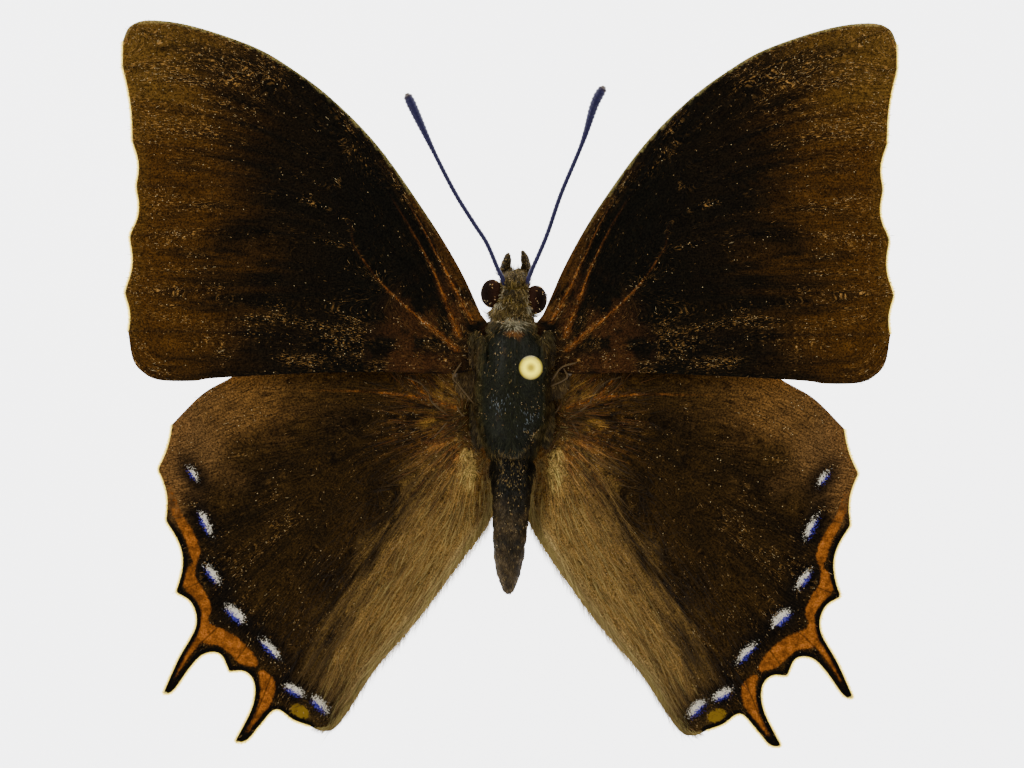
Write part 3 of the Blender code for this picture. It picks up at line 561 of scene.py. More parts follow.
def wing_plan(wing):
    """The wing's points, rim and triangles in plan: its outline, its veins and a fine grid between."""
    points, index, segments = [], {}, []

    def mark(point):
        key = (round(float(point[0]), 3), round(float(point[1]), 3))
        if key not in index:
            index[key] = len(points)
            points.append(Vector(key))
        return index[key]

    border = list(dict.fromkeys(mark(point) for point in wing["outline"]))
    for line in wing["veins"]:
        marks = [mark(point) for point in line]
        segments += [pair for pair in zip(marks, marks[1:]) if pair[0] != pair[1]]
    feet = []
    for line in wing["veins"]:
        along = np.gradient(line, axis=0)
        along /= np.linalg.norm(along, axis=1)[:, None]
        across = np.stack([-along[:, 1], along[:, 0]], axis=1)
        feet += [line + VEIN_FOOT * across, line - VEIN_FOOT * across]
    feet = np.vstack(feet)
    low, high = wing["outline"].min(axis=0), wing["outline"].max(axis=0)
    rows = np.arange(low[1], high[1], GRID * math.sqrt(0.75))
    grid = [
        np.stack([np.arange(low[0] + (i % 2) * GRID / 2, high[0], GRID)] * 2, axis=1) * (1, 0)
        + (0, fore) for i, fore in enumerate(rows)
    ]
    grid = np.vstack(grid)
    closed = np.vstack([wing["outline"], wing["outline"][:1]])
    for extra, to_vein, to_edge in ((feet, 0.9 * VEIN_FOOT, FOOT_TO_EDGE),
                                    (grid, GRID_TO_VEIN, GRID_TO_EDGE)):
        extra = extra[is_inside(extra, wing["outline"])]
        extra = extra[distance_to_line(extra, closed) > to_edge]
        extra = extra[vein_distance(wing, extra) > to_vein]
        points += [Vector(point) for point in extra]
    plan, _, triangles, origins, _, _ = delaunay_2d_cdt(points, segments, [border], 1, 1e-6)
    made = {old: i for i, origin in enumerate(origins) for old in origin}
    rim = [made[old] for old in border]
    return np.array([tuple(p) for p in plan]), rim, np.array(triangles)


def spot_field(points, spots):
    """How deep each point lies in the nearest spot, and on which side of the spot's length it is.

    A spot is an oval with slightly squared ends, which the powers give.
    """
    depth = np.full(len(points), -9.0)
    side = np.zeros(len(points))
    for centre, half_length, half_width, way in spots:
        way = np.array(way) / np.hypot(*way)
        offset = points - centre
        along = offset @ way
        across = offset @ np.array([way[1], -way[0]])
        inside = half_width * (1.0 - ((np.abs(along) / half_length) ** 2.2
                                      + (np.abs(across) / half_width) ** 2.0) ** 0.45)
        side = np.where(inside > depth, across / half_width, side)
        depth = np.maximum(depth, inside)
    return depth, side


def border_field(points):
    """How deep each point lies in the orange border."""
    depth = np.full(len(points), -9.0)
    for line in (BORDER_MAIN, BORDER_FIRST_TAIL, BORDER_SECOND_TAIL):
        for out, fore, half in curve_through(line, BORDER_STEP):
            depth = np.maximum(depth, half - np.hypot(points[:, 0] - out, points[:, 1] - fore))
    return depth


def pale_zone_field(points):
    """How far each point lies inside the pale rear zone of the hindwing."""
    fore, out = np.array(PALE_ZONE).T
    return 0.85 * (np.interp(points[:, 1], fore, out) - points[:, 0])


def wing_fields(wing, points):
    """Distances on the wing's plan, which the colours of the skin and of the coat share."""
    fields = {
        "edge": distance_to_line(points, wing["margin"]),
        "front": distance_to_line(points, wing["costa"]),
        "rear": distance_to_line(points, wing["inner"]),
        "vein": vein_distance(wing, points),
        "reach": np.linalg.norm(points - wing["hinge"], axis=1),
        "count": even_count(wing, vein_count(wing, points)),
    }
    slim = 0.06 + 0.09 * ease(9.0, 1.0, fields["reach"])
    fields["rust"] = np.max([
        np.exp(-(distance_to_line(points, wing["veins"][i]) / slim) ** 2) for i in wing["rusty"]
    ], axis=0) * ease(15.5, 4.0, fields["reach"])
    if wing["dips"]:
        fields["spot"], fields["spot_side"] = spot_field(points, SPOTS)
        fields["border"] = border_field(points)
        fields["ochre"], _ = spot_field(points, [OCHRE_PATCH])
        fields["pale"] = pale_zone_field(points)
    return fields


FORE_DARK = colour("#0d0b06")
FORE_BROWN = colour("#482d0c")
FORE_APEX = colour("#5f451a")
FORE_ROOT = colour("#3f2510")
FORE_FRONT = colour("#5c3a14")
RUST = colour("#8a4f1e")
GOLD = colour("#bd8b47")
HIND_DARK = colour("#1c1307")
HIND_TAN = colour("#664721")
HIND_APEX = colour("#5f4526")
HIND_PALE = colour("#9d7a40")
HIND_STREAK = colour("#32220b")
HIND_ROOT = colour("#5c3c14")
HIND_GOLD = colour("#7f5c26")
HIND_CREAM = colour("#cdb57c")
PATCH_CREAM = colour("#bd9f58")
BORDER_ORANGE = colour("#a45f24")
BORDER_BROWN = colour("#6c4b26")
SPOT_CREAM = colour("#efe6d0")
SPOT_VIOLET = colour("#3a339c")
SPOT_RING = colour("#0b0907")
OCHRE = colour("#846618")
FRINGE = colour("#fbe88a")
CILIA_YELLOW = colour("#ffe25c")
# Pale gold: partly the scales' own colour, partly a painted glint.
PALE_GOLD_AND_GLINT = colour("#ecd49c")
UNDER_GREY = colour("#8a7a63")
UNDER_BROWN = colour("#5d4a35")
UNDER_LINE = colour("#2c231b")
UNDER_PALE = colour("#b9aa8e")


def lengthwise(fields, fineness, seed):
    """Random values from -0.5 to 0.5 in long streaks that follow the veins."""
    place = np.stack([fields["count"] * fineness, fields["reach"] * 0.28], axis=1)
    return soft_noise(place, 1.0, seed) - 0.5


def near(points, centre, size):
    """1 at the centre of an oval patch of this size, falling to 0 around it."""
    return np.exp(-(((points - centre) / size) ** 2).sum(axis=1))


def forewing_tint(points, fields):
    """The forewing's upper side: nearly black, brown towards the outer edge, tip and root."""
    patch = soft_noise(points, 3.2, 11) - 0.5
    lumps = soft_noise(points, 1.1, 14)
    streak = lengthwise(fields, 5.0, 12)
    fine = lengthwise(fields, 12.0, 13)
    edge, reach = fields["edge"], fields["reach"]
    tint = np.tile(FORE_DARK, (len(points), 1))
    tint = mix(tint, FORE_BROWN, ease(12.3, 2.0, edge + 3.0 * patch + 3.5 * streak + 2.5 * fine))
    tint = mix(tint, FORE_BROWN, 0.08 * ease(20.0, 12.0, edge))
    tip = np.hypot(points[:, 0] - 31.5, points[:, 1] - 30.5)
    tint = mix(tint, FORE_APEX, 0.9 * ease(12.0, 1.0, tip + 3.0 * patch + 4.0 * streak + 2.0 * fine))
    tint = mix(tint, FORE_APEX, 0.4 * ease(1.4, 0.1, edge))
    tint = mix(tint, FORE_DARK, 0.6 * ease(-0.05, 0.3, fine) * ease(1.0, 5.0, edge))
    tint = mix(tint, FORE_DARK, 0.6 * ease(3.0, 0.8, fields["rear"]) * ease(5.0, 10.0, edge))
    root = ease(9.0, 4.0, reach + 4.0 * patch) * ease(0.38, 0.62, lumps + 0.5 * fine)
    tint = mix(tint, FORE_ROOT, 0.75 * root)
    tint = mix(tint, FORE_DARK, 0.8 * ease(3.0, 1.0, reach))
    tint = mix(tint, FORE_ROOT, 0.8 * near(points, (7.3, 1.9), (2.6, 0.7)))
    front = ease(1.3, 0.4, fields["front"]) * ease(20.0, 8.0, reach)
    tint = mix(tint, FORE_FRONT, 0.6 * front * ease(-0.2, 0.2, fine))
    tint = mix(tint, FRINGE, 0.35 * ease(0.16, 0.06, fields["front"]) * ease(8.0, 18.0, reach))
    lines = 0.5 * np.exp(-(fields["vein"] / 0.1) ** 2) * ease(9.0, 16.0, reach)
    return mix(tint, SPOT_RING, lines)


def forewing_marks(points, fields):
    """The forewing's colours with its rusty veins, for the coat."""
    return mix(forewing_tint(points, fields), RUST, 0.8 * fields["rust"])


def hindwing_tint(points, fields):
    """The hindwing's upper side: dark, tan in front, pale along the abdomen, golden at the root."""
    patch = soft_noise(points, 2.8, 21) - 0.5
    lumps = soft_noise(points, 0.35, 25)
    streak = lengthwise(fields, 7.0, 22)
    fine = lengthwise(fields, 18.0, 23)
    reach, pale = fields["reach"], fields["pale"]
    tint = np.tile(HIND_DARK, (len(points), 1))
    tint = mix(tint, HIND_STREAK, 0.85 * ease(-0.35, 0.35, 0.6 * fine + 0.6 * streak + 0.5 * patch))
    front = ease(8.0, 2.0, fields["front"] + 3.0 * patch + 2.0 * streak) * ease(12.0, 23.0, points[:, 0])
    tint = mix(tint, HIND_TAN, 0.9 * front)
    inner_front = ease(6.0, 2.0, fields["front"] + 2.0 * streak)
    tint = mix(tint, HIND_STREAK, 0.5 * inner_front * ease(20.0, 10.0, points[:, 0]))
    tip = np.hypot(points[:, 0] - 28.6, points[:, 1] + 5.0)
    tint = mix(tint, HIND_APEX, 0.85 * ease(7.0, 1.0, tip + 3.0 * patch))
    brown = ease(2.4, 0.4, fields["edge"] + 1.5 * patch) * ease(-13.0, -9.0, points[:, 1])
    tint = mix(tint, BORDER_BROWN, 0.7 * brown)
    bright = ease(-3.0, 2.2, pale + 2.8 * streak + 1.2 * fine)
    low = ease(-29.5, -20.0, points[:, 1] - 1.2 * patch)
    tint = mix(tint, HIND_PALE, bright * (0.3 + 0.7 * low))
    tint = mix(tint, HIND_STREAK, 0.4 * bright * ease(0.0, 0.35, fine))
    tint = mix(tint, HIND_DARK, 0.5 * near(points, (15.6, -28.3), (1.4, 0.7)))
    rim = ease(1.3, 0.1, fields["rear"] + fine) * ease(-28.0, -23.0, points[:, 1])
    tint = mix(tint, HIND_CREAM, 0.5 * rim)
    root = ease(9.5, 3.0, reach + 5.0 * streak) * ease(-0.15, 0.25, fine)
    tint = mix(tint, HIND_ROOT, 0.6 * root)
    fan = ease(6.5, 2.5, reach) * ease(-3.6, -5.4, points[:, 1])
    tint = mix(tint, RUST, 0.5 * fan * ease(-0.1, 0.3, fine))
    gold = np.maximum(near(points, (5.4, -0.6), (1.3, 1.1)), near(points, (6.9, -3.4), (1.1, 0.7)))
    tint = mix(tint, HIND_DARK, 0.75 * ease(3.6, 1.4, reach) * (1.0 - gold))
    tint = mix(tint, HIND_GOLD, ease(0.3, 0.7, gold) * ease(0.35, 0.6, lumps))
    tint = tint * (1.0 + 1.3 * fine * ease(10.0, 4.0, reach))[:, None]
    tint = mix(tint, PATCH_CREAM, 0.85 * ease(0.4, 0.6, near(points, *CREAM_PATCH) + 0.6 * fine))
    return mix(tint, SPOT_RING, 0.85 * ease(-1.1, -0.15, fields["spot"]))


def hindwing_marks(points, fields):
    """The hindwing's colours with its spots and border, for the coat."""
    tint = mix(hindwing_tint(points, fields), RUST, 0.7 * fields["rust"])
    brown = ease(-12.5, -9.5, points[:, 1])[:, None]
    border = np.array(BORDER_ORANGE) + (np.array(BORDER_BROWN) - BORDER_ORANGE) * brown
    tint = mix(tint, border, ease(-0.05, 0.1, fields["border"]) * ease(0.3, 0.5, fields["edge"]))
    tint = mix(tint, SPOT_RING, ease(0.5, 0.3, fields["edge"]))
    tint = mix(tint, OCHRE, ease(0.0, 0.1, fields["ochre"]))
    spot = np.where(fields["spot_side"][:, None] > -0.15, SPOT_CREAM, SPOT_VIOLET)
    return mix(tint, spot, ease(-0.03, 0.03, fields["spot"]))


def under_tint(points, fields):
    """The plain underside: grey brown with dark wavy lines and a paler band across the middle."""
    wave = 0.5 * np.sin(points[:, 1] * 1.1) + 1.5 * (soft_noise(points, 2.5, 31) - 0.5)
    tint = np.tile(UNDER_GREY, (len(points), 1))
    tint = mix(tint, UNDER_BROWN, ease(9.0, 17.0, fields["edge"] + 2.0 * wave))
    tint = mix(tint, UNDER_PALE, 0.8 * np.exp(-((fields["edge"] + wave - 11.0) / 1.6) ** 2))
    for place, width in ((9.0, 0.22), (13.2, 0.25), (17.5, 0.2), (20.5, 0.2), (4.2, 0.3)):
        tint = mix(tint, UNDER_LINE, 0.8 * np.exp(-((fields["edge"] + wave - place) / width) ** 2))
    tint = mix(tint, UNDER_LINE, 0.4 * np.exp(-(fields["vein"] / 0.12) ** 2))
    return mix(tint, UNDER_BROWN, 0.7 * ease(1.2, 0.3, fields["edge"]))


def gold_dust(wing, points, fields):
    """How thickly the golden scales lie, from 0 to 1: in streaks and clumps along the veins."""
    reach, edge = fields["reach"], fields["edge"]
    clumps = 0.3 + 2.4 * ease(-0.1, 0.35, lengthwise(fields, 9.0, 53))
    clumps = clumps * 2.6 * soft_noise(points, 1.4, 51) * soft_noise(points, 0.4, 52)
    if wing["dips"]:
        share = 0.09 + 0.45 * ease(9.0, 2.0, reach) + 0.1 * ease(12.0, 6.0, edge)
        share = share + 0.06 * near(points, (17.0, -14.0), (5.0, 4.0))
        share = share + 0.25 * ease(-3.5, 0.0, fields["pale"]) * ease(3.0, 0.0, fields["pale"])
        return np.clip(share * clumps, 0.0, 1.0) * ease(0.15, -0.3, fields["border"])
    tip = np.hypot(points[:, 0] - 27.0, (points[:, 1] - 26.5) * 1.3)
    share = 0.03 + 0.9 * ease(11.0, 2.0, tip) + 0.3 * ease(9.0, 3.0, edge)
    low = ease(4.5, 1.5, np.abs(points[:, 1] - 3.2)) * ease(8.0, 12.0, points[:, 0])
    share = share + 0.45 * low * ease(28.0, 22.0, points[:, 0])
    share = share + 0.35 * ease(7.0, 2.0, reach) + 0.9 * fields["rust"] + 0.2 * ease(0.4, 0.1, fields["vein"])
    share = share + 0.4 * ease(1.6, 0.3, fields["front"]) * ease(6.0, 12.0, reach)
    return np.clip(share * clumps, 0.0, 1.0)


def set_field(mesh, name, values):
    """Stores a number, a colour or a vector for each point of the mesh."""
    values = np.asarray(values, dtype=np.float32)
    if values.ndim == 1:
        mesh.attributes.new(name, "FLOAT", "POINT").data.foreach_set("value", values)
    elif name == "tint":
        rows = np.concatenate([values, np.ones((len(values), 1), np.float32)], axis=1)
        mesh.attributes.new(name, "FLOAT_COLOR", "POINT").data.foreach_set("color", rows.ravel())
    else:
        mesh.attributes.new(name, "FLOAT_VECTOR", "POINT").data.foreach_set("vector", values.ravel())


def new_piece(name, points, faces, materials, nodes=(), fields=None, smooth=True):
    """A mesh object from points in millimetres, riding on the body in place of these nodes."""
    mesh = bpy.data.meshes.new(name)
    mesh.from_pydata(np.asarray(points) * MM, [], faces)
    for material in materials:
        mesh.materials.append(material)
    for key, values in (fields or {}).items():
        set_field(mesh, key, values)
    if smooth:
        mesh.shade_smooth()
    obj = bpy.data.objects.new(name, mesh)
    bpy.context.scene.collection.objects.link(obj)
    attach(obj, "root")
    if nodes:
        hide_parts(*nodes)
    return obj


def build_wing(wing, side, label, plan, materials, tint):
    """The wing's skin: an upper and a lower face over the same plan, joined along the outline."""
    flat, rim, triangles = plan
    fields = wing_fields(wing, flat)
    middle, half = wing_middle(wing, flat), wing_half(wing, flat, fields["vein"])
    thin = ease(0.0, 0.5, distance_to_line(flat, np.vstack([wing["outline"], wing["outline"][:1]])))
    half = half * (0.45 + 0.55 * thin)
    points = np.vstack([
        on_wing(wing, side, flat, middle + half), on_wing(wing, side, flat, middle - half),
    ])
    count = len(flat)
    edge = [(a, a + count, b + count, b) for a, b in zip(rim, rim[1:] + rim[:1])]
    top, bottom = triangles.tolist(), (triangles[:, ::-1] + count).tolist()
    faces = top + bottom + edge
    if side < 0:
        faces = [face[::-1] for face in faces]
    lie = np.stack([fields["count"] * 3.5, fields["reach"], np.zeros(count)], axis=1)
    both = {
        "tint": np.vstack([tint(flat, fields), under_tint(flat, fields)]),
        "lie": np.vstack([lie, lie]),
        "dust": np.tile(gold_dust(wing, flat, fields), 2),
    }
    for key in ("edge", "vein", "rust", "spot", "spot_side", "border", "ochre"):
        if key in fields:
            both[key] = np.tile(fields[key], 2)
    obj = new_piece(label, points, faces, materials, [label_node(label)], both)
    under = np.zeros(len(faces), dtype=np.int32)
    under[len(top):len(top) + len(bottom)] = 1
    obj.data.polygons.foreach_set("material_index", under)
    turn_outward(obj)


def label_node(label):
    """The solid that a wing's piece stands for, such as forewing_left for left_forewing."""
    side, wing = label.split("_")
    return f"{wing}_{side}"


def turn_outward(obj):
    """Turns all faces of a closed piece outwards."""
    bm = bmesh.new()
    bm.from_mesh(obj.data)
    bmesh.ops.recalc_face_normals(bm, faces=bm.faces)
    bm.to_mesh(obj.data)
    bm.free()


def shape_of(bm):
    """The points and faces of a bmesh, which is freed."""
    bm.verts.index_update()
    points = np.array([tuple(v.co) for v in bm.verts])
    faces = [tuple(v.index for v in face.verts) for face in bm.faces]
    bm.free()
    return points, faces


def cone_template(sides, bend):
    """A thin closed tuft from (0,0,0) along +Y, one long, with its middle raised to bend it."""
    bm = bmesh.new()
    upright = Matrix.Translation((0.0, 0.5, 0.0)) @ Matrix.Rotation(-math.pi / 2, 4, "X")
    bmesh.ops.create_cone(bm, cap_ends=True, segments=sides, radius1=1.0, radius2=0.0, depth=1.0,
                          matrix=upright)
    geometry = [*bm.verts, *bm.edges, *bm.faces]
    bmesh.ops.bisect_plane(bm, geom=geometry, plane_co=(0, 0.45, 0), plane_no=(0, 1, 0))
    bmesh.ops.triangulate(bm, faces=bm.faces)
    bmesh.ops.recalc_face_normals(bm, faces=bm.faces)
    points, faces = shape_of(bm)
    middle = (points[:, 1] > 0.3) & (points[:, 1] < 0.6)
    points[middle] *= (1.45, 1.0, 1.45)
    lift = bend * np.sin(math.pi * points[:, 1])
    return points, lift, np.array(faces)


def scale_template():
    """A flat closed scale: a diamond one long and wide with a low crest."""
    points = np.array([(0, 0, 0), (0.5, 0.55, 0), (0, 1, 0), (-0.5, 0.55, 0), (0, 0.6, 1.0)], float)
    faces = np.array([(0, 1, 4), (1, 2, 4), (2, 3, 4), (3, 0, 4), (0, 2, 1), (0, 3, 2)])
    return points, np.zeros(len(points)), faces


HAIR = cone_template(3, 0.18)
SCALE = scale_template()
PATCH = 0.0015  # half the width of a tuft's patch on its map


def coat_piece(name, template, roots, ahead, up, length, width, tints, places, material):
    """Many tufts as one mesh, each a small patch of its map at its root's place on the unwrap."""
    shape, lift, faces = template
    ahead = ahead / np.linalg.norm(ahead, axis=1)[:, None]
    across = np.cross(ahead, up)
    across /= np.linalg.norm(across, axis=1)[:, None] + 1e-9
    above = np.cross(across, ahead)
    length, width = np.broadcast_to(length, len(roots)), np.broadcast_to(width, len(roots))
    points = (roots[:, None]
              + across[:, None] * (shape[None, :, :1] * width[:, None, None])
              + ahead[:, None] * (shape[None, :, 1:2] * length[:, None, None])
              + above[:, None] * (shape[None, :, 2:] * width[:, None, None]
                                  + lift[None, :, None] * length[:, None, None]))
    count = len(shape)
    all_faces = (faces[None] + (np.arange(len(roots)) * count)[:, None, None]).reshape(-1, 3)
    obj = new_piece(name, points.reshape(-1, 3), all_faces, [material], (),
                    {"tint": np.repeat(tints, count, axis=0)}, smooth=False)
    span = np.abs(shape[:, :2]).max(axis=0)
    spread = shape[:, :2] / span * (1.0, 2.0) - (0.0, 1.0)
    patch = places[:, None] + PATCH * spread[None]
    layer = obj.data.uv_layers.new(name="OFBake")
    layer.data.foreach_set("uv", patch.reshape(-1, 2)[all_faces.ravel()].astype(np.float32).ravel())


def wing_places(points):
    """Where these plan points lie on the wing's flat unwrap, whose left half is the upper face."""
    u = MAP_RIM + 0.44 * points[:, 0] / 34.0
    v = MAP_RIM + (1.0 - 2 * MAP_RIM) * (points[:, 1] + 31.0) / 63.0
    return np.stack([u, v], axis=1)


def scatter(wing, count):
    """Random places inside the wing's outline."""
    low, high = wing["outline"].min(axis=0), wing["outline"].max(axis=0)
    points = RANDOM.uniform(low, high, (count, 2))
    return points[is_inside(points, wing["outline"])]


def tilted(ways, angle):
    """Ways on a plan, each turned by its angle."""
    c, s = np.cos(angle), np.sin(angle)
    return np.stack([ways[:, 0] * c - ways[:, 1] * s, ways[:, 0] * s + ways[:, 1] * c], axis=1)


def build_scales(wing, side, label, material):
    """Golden and brown scales that stand a little off the upper face, along the veins."""
    points = scatter(wing, SCALE_TRIES)
    fields = wing_fields(wing, points)
    dust = gold_dust(wing, points, fields)
    keep = RANDOM.random(len(points)) < 0.03 + 0.9 * dust
    points, dust = points[keep], dust[keep]
    fields = {key: values[keep] for key, values in fields.items()}
    base = hindwing_marks(points, fields) if wing["dips"] else forewing_marks(points, fields)
    bright = RANDOM.random(len(points)) ** 2.6
    golden = RANDOM.random(len(points)) < 0.25 + 0.6 * dust
    if wing["dips"]:
        golden &= fields["spot"] < 0.0
    tints = base * (0.7 + 1.0 * bright)[:, None]
    # The brightest golden scales go pale: partly their own pale gold, partly painted glints.
    shine = mix(np.tile(GOLD, (len(points), 1)), PALE_GOLD_AND_GLINT, bright ** 5)
    tints = np.where(golden[:, None], base + (shine - base) * (0.1 + 0.9 * bright)[:, None], tints)
    ways = tilted(vein_direction(wing, points), RANDOM.normal(0.0, 0.25, len(points)))
    height = wing_middle(wing, points) + wing_half(wing, points, fields["vein"]) + COAT_LIFT
    roots = on_wing(wing, side, points, height)
    ahead = turned_on_wing(wing, side, ways)
    ahead[:, 2] = 0.06 + 0.22 * RANDOM.random(len(points))
    length = RANDOM.uniform(0.08, 0.2, len(points)) * (1.0 + 2.5 * RANDOM.random(len(points)) ** 3)
    width = RANDOM.uniform(0.024, 0.045, len(points))
    coat_piece(label, SCALE, roots, ahead, UPRIGHT, length, width, np.clip(tints, 0, 1),
               wing_places(points), material)


def travelled_along(line):
    """How far along the line each of its points lies."""
    steps = np.linalg.norm(np.diff(line, axis=0), axis=1)
    return np.concatenate([[0.0], np.cumsum(steps)])


def places_along(line, travelled, marks):
    """The places on a line in plan that lie these distances along it."""
    return np.stack([np.interp(marks, travelled, line[:, i]) for i in (0, 1)], axis=1)


def build_fringe(wing, side, label, material):
    """Short scales along the outer edge, pointing outward in the wing's plane."""
    travelled = travelled_along(wing["margin"])
    marks = np.arange(0.0, travelled[-1], FRINGE_SPACING)
    marks = marks + RANDOM.uniform(-0.4, 0.4, len(marks)) * FRINGE_SPACING
    points = places_along(wing["margin"], travelled, marks)
    along = np.gradient(points, axis=0)
    along /= np.linalg.norm(along, axis=1)[:, None] + 1e-9
    out = np.stack([-along[:, 1], along[:, 0]], axis=1)
    probe = is_inside(points + 0.15 * out, wing["outline"])
    out = np.where(probe[:, None], -out, out)
    ways = tilted(out, RANDOM.normal(0.0, 0.25, len(points)))
    points = points - 0.04 * out
    height = wing_middle(wing, points) + RANDOM.uniform(-0.02, 0.02, len(points))
    roots = on_wing(wing, side, points, height)
    ahead = turned_on_wing(wing, side, ways)
    ahead[:, 2] = RANDOM.normal(0.0, 0.08, len(points))
    tints = np.array(CILIA_YELLOW) * RANDOM.uniform(0.8, 1.15, len(points))[:, None]
    length = RANDOM.uniform(0.6, 1.1, len(points)) * FRINGE_LENGTH
    coat_piece(label, HAIR, roots, ahead, UPRIGHT, length, FRINGE_RADIUS, np.clip(tints, 0, 1),
               wing_places(points), material)


def build_wing_hair(wing, side, label, material):
    """The long hair of the hindwing's rear zone, root and inner edge, lying along the veins."""
    points = scatter(wing, WING_HAIR_TRIES)
    fields = wing_fields(wing, points)
    share = 0.7 * ease(-3.0, 2.0, fields["pale"]) + 0.5 * ease(9.0, 2.0, fields["reach"])
    share = share + 0.35 * ease(-7.0, -1.0, fields["pale"])
    share = share * ease(1.2, 3.0, fields["edge"]) * ease(0.4, -0.5, fields["spot"] + 0.5)
    keep = RANDOM.random(len(points)) < np.clip(share, 0.0, 1.0) * 0.6
    points = points[keep]
    fields = {key: values[keep] for key, values in fields.items()}
    base = hindwing_tint(points, fields)
    bright = RANDOM.random(len(points))
    pale = (bright > 0.6) & (RANDOM.random(len(points)) < ease(-1.5, 3.0, fields["pale"]))
    pale &= near(points, *CREAM_PATCH) < 0.2
    strong = ease(10.0, 4.0, fields["reach"])
    shade = (0.3 + 1.4 * bright) * (1.0 - strong) + (0.1 + 2.7 * bright ** 2) * strong
    tints = np.where(pale[:, None], mix(base, FRINGE, 0.05 + 0.22 * bright), base * shade[:, None])
    rusty = RANDOM.random(len(points)) < 0.25 * ease(9.0, 3.0, fields["reach"])
    tints = np.where(rusty[:, None], mix(base, RUST, 0.6), tints)
    ways = tilted(vein_direction(wing, points), RANDOM.normal(0.0, 0.12, len(points)))
    height = wing_middle(wing, points) + wing_half(wing, points, fields["vein"]) + COAT_LIFT
    roots = on_wing(wing, side, points, height)
    ahead = turned_on_wing(wing, side, ways)
    ahead[:, 2] = RANDOM.uniform(0.01, 0.07, len(points))
    length = RANDOM.uniform(0.9, 2.6, len(points)) * (0.55 + 0.45 * ease(2.0, 8.0, fields["reach"]))
    length = np.minimum(length, 0.85 * fields["edge"] + 0.3)
    width = RANDOM.uniform(0.008, 0.021, len(points))
    coat_piece(label, HAIR, roots, ahead, UPRIGHT, length, width, np.clip(tints, 0, 1),
               wing_places(points), material)


def build_edge_hair(wing, side, label, material):
    """The soft hair that stands past the hindwing's inner edge."""
    travelled = travelled_along(wing["inner"])
    marks = RANDOM.uniform(0.8, travelled[-1] - 0.5, EDGE_HAIRS)
    points = places_along(wing["inner"], travelled, marks)
    inward = [RANDOM.uniform(0.0, 0.7, len(points)), RANDOM.uniform(0.0, 0.4, len(points))]
    points = points + np.stack(inward, axis=1)
    points = points[is_inside(points, wing["outline"])]
    along = vein_direction(wing, points)
    ways = along + np.array([-0.35, -0.25]) + RANDOM.normal(0.0, 0.12, (len(points), 2))
    height = wing_middle(wing, points) + RANDOM.uniform(-0.03, 0.05, len(points))
    roots = on_wing(wing, side, points, height)
    ahead = turned_on_wing(wing, side, ways)
    ahead[:, 2] = RANDOM.normal(0.0, 0.05, len(points))
    bright = RANDOM.random(len(points))[:, None]
    tints = np.array(HIND_PALE) * 0.7 + bright * (np.array(FRINGE) - HIND_PALE) * 0.5
    length = RANDOM.uniform(0.5, 1.4, len(points)) * ease(-30.5, -25.0, points[:, 1]) + 0.25
    coat_piece(label, HAIR, roots, ahead, UPRIGHT, length, EDGE_HAIR_RADIUS, tints, wing_places(points),
               material)


def body_loft(rings, sides):
    """A closed body whose elliptical rings, front to rear, stand upright across the midline."""
    angles = np.linspace(0.0, 2 * math.pi, sides, endpoint=False)
    bm = bmesh.new()
    loops = []
    for fore, side, half_width, height, half_height in rings:
        loops.append([
            bm.verts.new((side + half_width * math.cos(a), fore, height + half_height * math.sin(a)))
            for a in angles
        ])
    for first, second in zip(loops, loops[1:]):
        edges = []
        for loop in (first, second):
            edges.append([bm.edges.get(pair) or bm.edges.new(pair)
                          for pair in zip(loop, loop[1:] + loop[:1])])
        bmesh.ops.bridge_loops(bm, edges=edges[0] + edges[1])
    bm.faces.new(loops[0])
    bm.faces.new(loops[-1])
    bmesh.ops.recalc_face_normals(bm, faces=bm.faces)
    return bm


def tube(path, radii, sides):
    """A round tube along the path, closed at both ends."""
    path = np.asarray(path)
    ways = np.gradient(path, axis=0)
    ways /= np.linalg.norm(ways, axis=1)[:, None]
    normal = np.array(Vector(ways[0]).orthogonal().normalized())
    rows = []
    angles = np.linspace(0.0, 2 * math.pi, sides, endpoint=False)
    for point, way, radius in zip(path, ways, np.broadcast_to(radii, len(path))):
        normal = normal - way * normal.dot(way)
        normal /= np.linalg.norm(normal)
        across = np.cross(way, normal)
        rows.append(point + radius * (np.cos(angles)[:, None] * normal + np.sin(angles)[:, None] * across))
    points = np.vstack(rows)
    faces = []
    for i in range(len(path) - 1):
        for k in range(sides):
            n = (k + 1) % sides
            faces.append((i * sides + k, i * sides + n, (i + 1) * sides + n, (i + 1) * sides + k))
    faces.append(tuple(range(sides))[::-1])
    last = (len(path) - 1) * sides
    faces.append(tuple(range(last, last + sides)))
    return points, faces


def joined(shapes):
    """One list of points and faces from several."""
    points, faces, start = [], [], 0
    for more, its_faces in shapes:
        points.append(np.asarray(more))
        faces += [tuple(i + start for i in face) for face in its_faces]
        start += len(more)
    return np.vstack(points), faces


def ball(centre, radii, segments=32, rings=20):
    """An egg shape with these half sizes."""
    bm = bmesh.new()
    place = Matrix.Translation(centre) @ Matrix.Diagonal((*radii, 1.0))
    bmesh.ops.create_uvsphere(bm, u_segments=segments, v_segments=rings, radius=1.0, matrix=place)
    return shape_of(bm)


def temporary(name, shape):
    """An object for the modifiers to work on, which is removed afterwards."""
    mesh = bpy.data.meshes.new(name)
    mesh.from_pydata(shape[0], [], shape[1])
    obj = bpy.data.objects.new(name, mesh)
    bpy.context.scene.collection.objects.link(obj)
    return obj


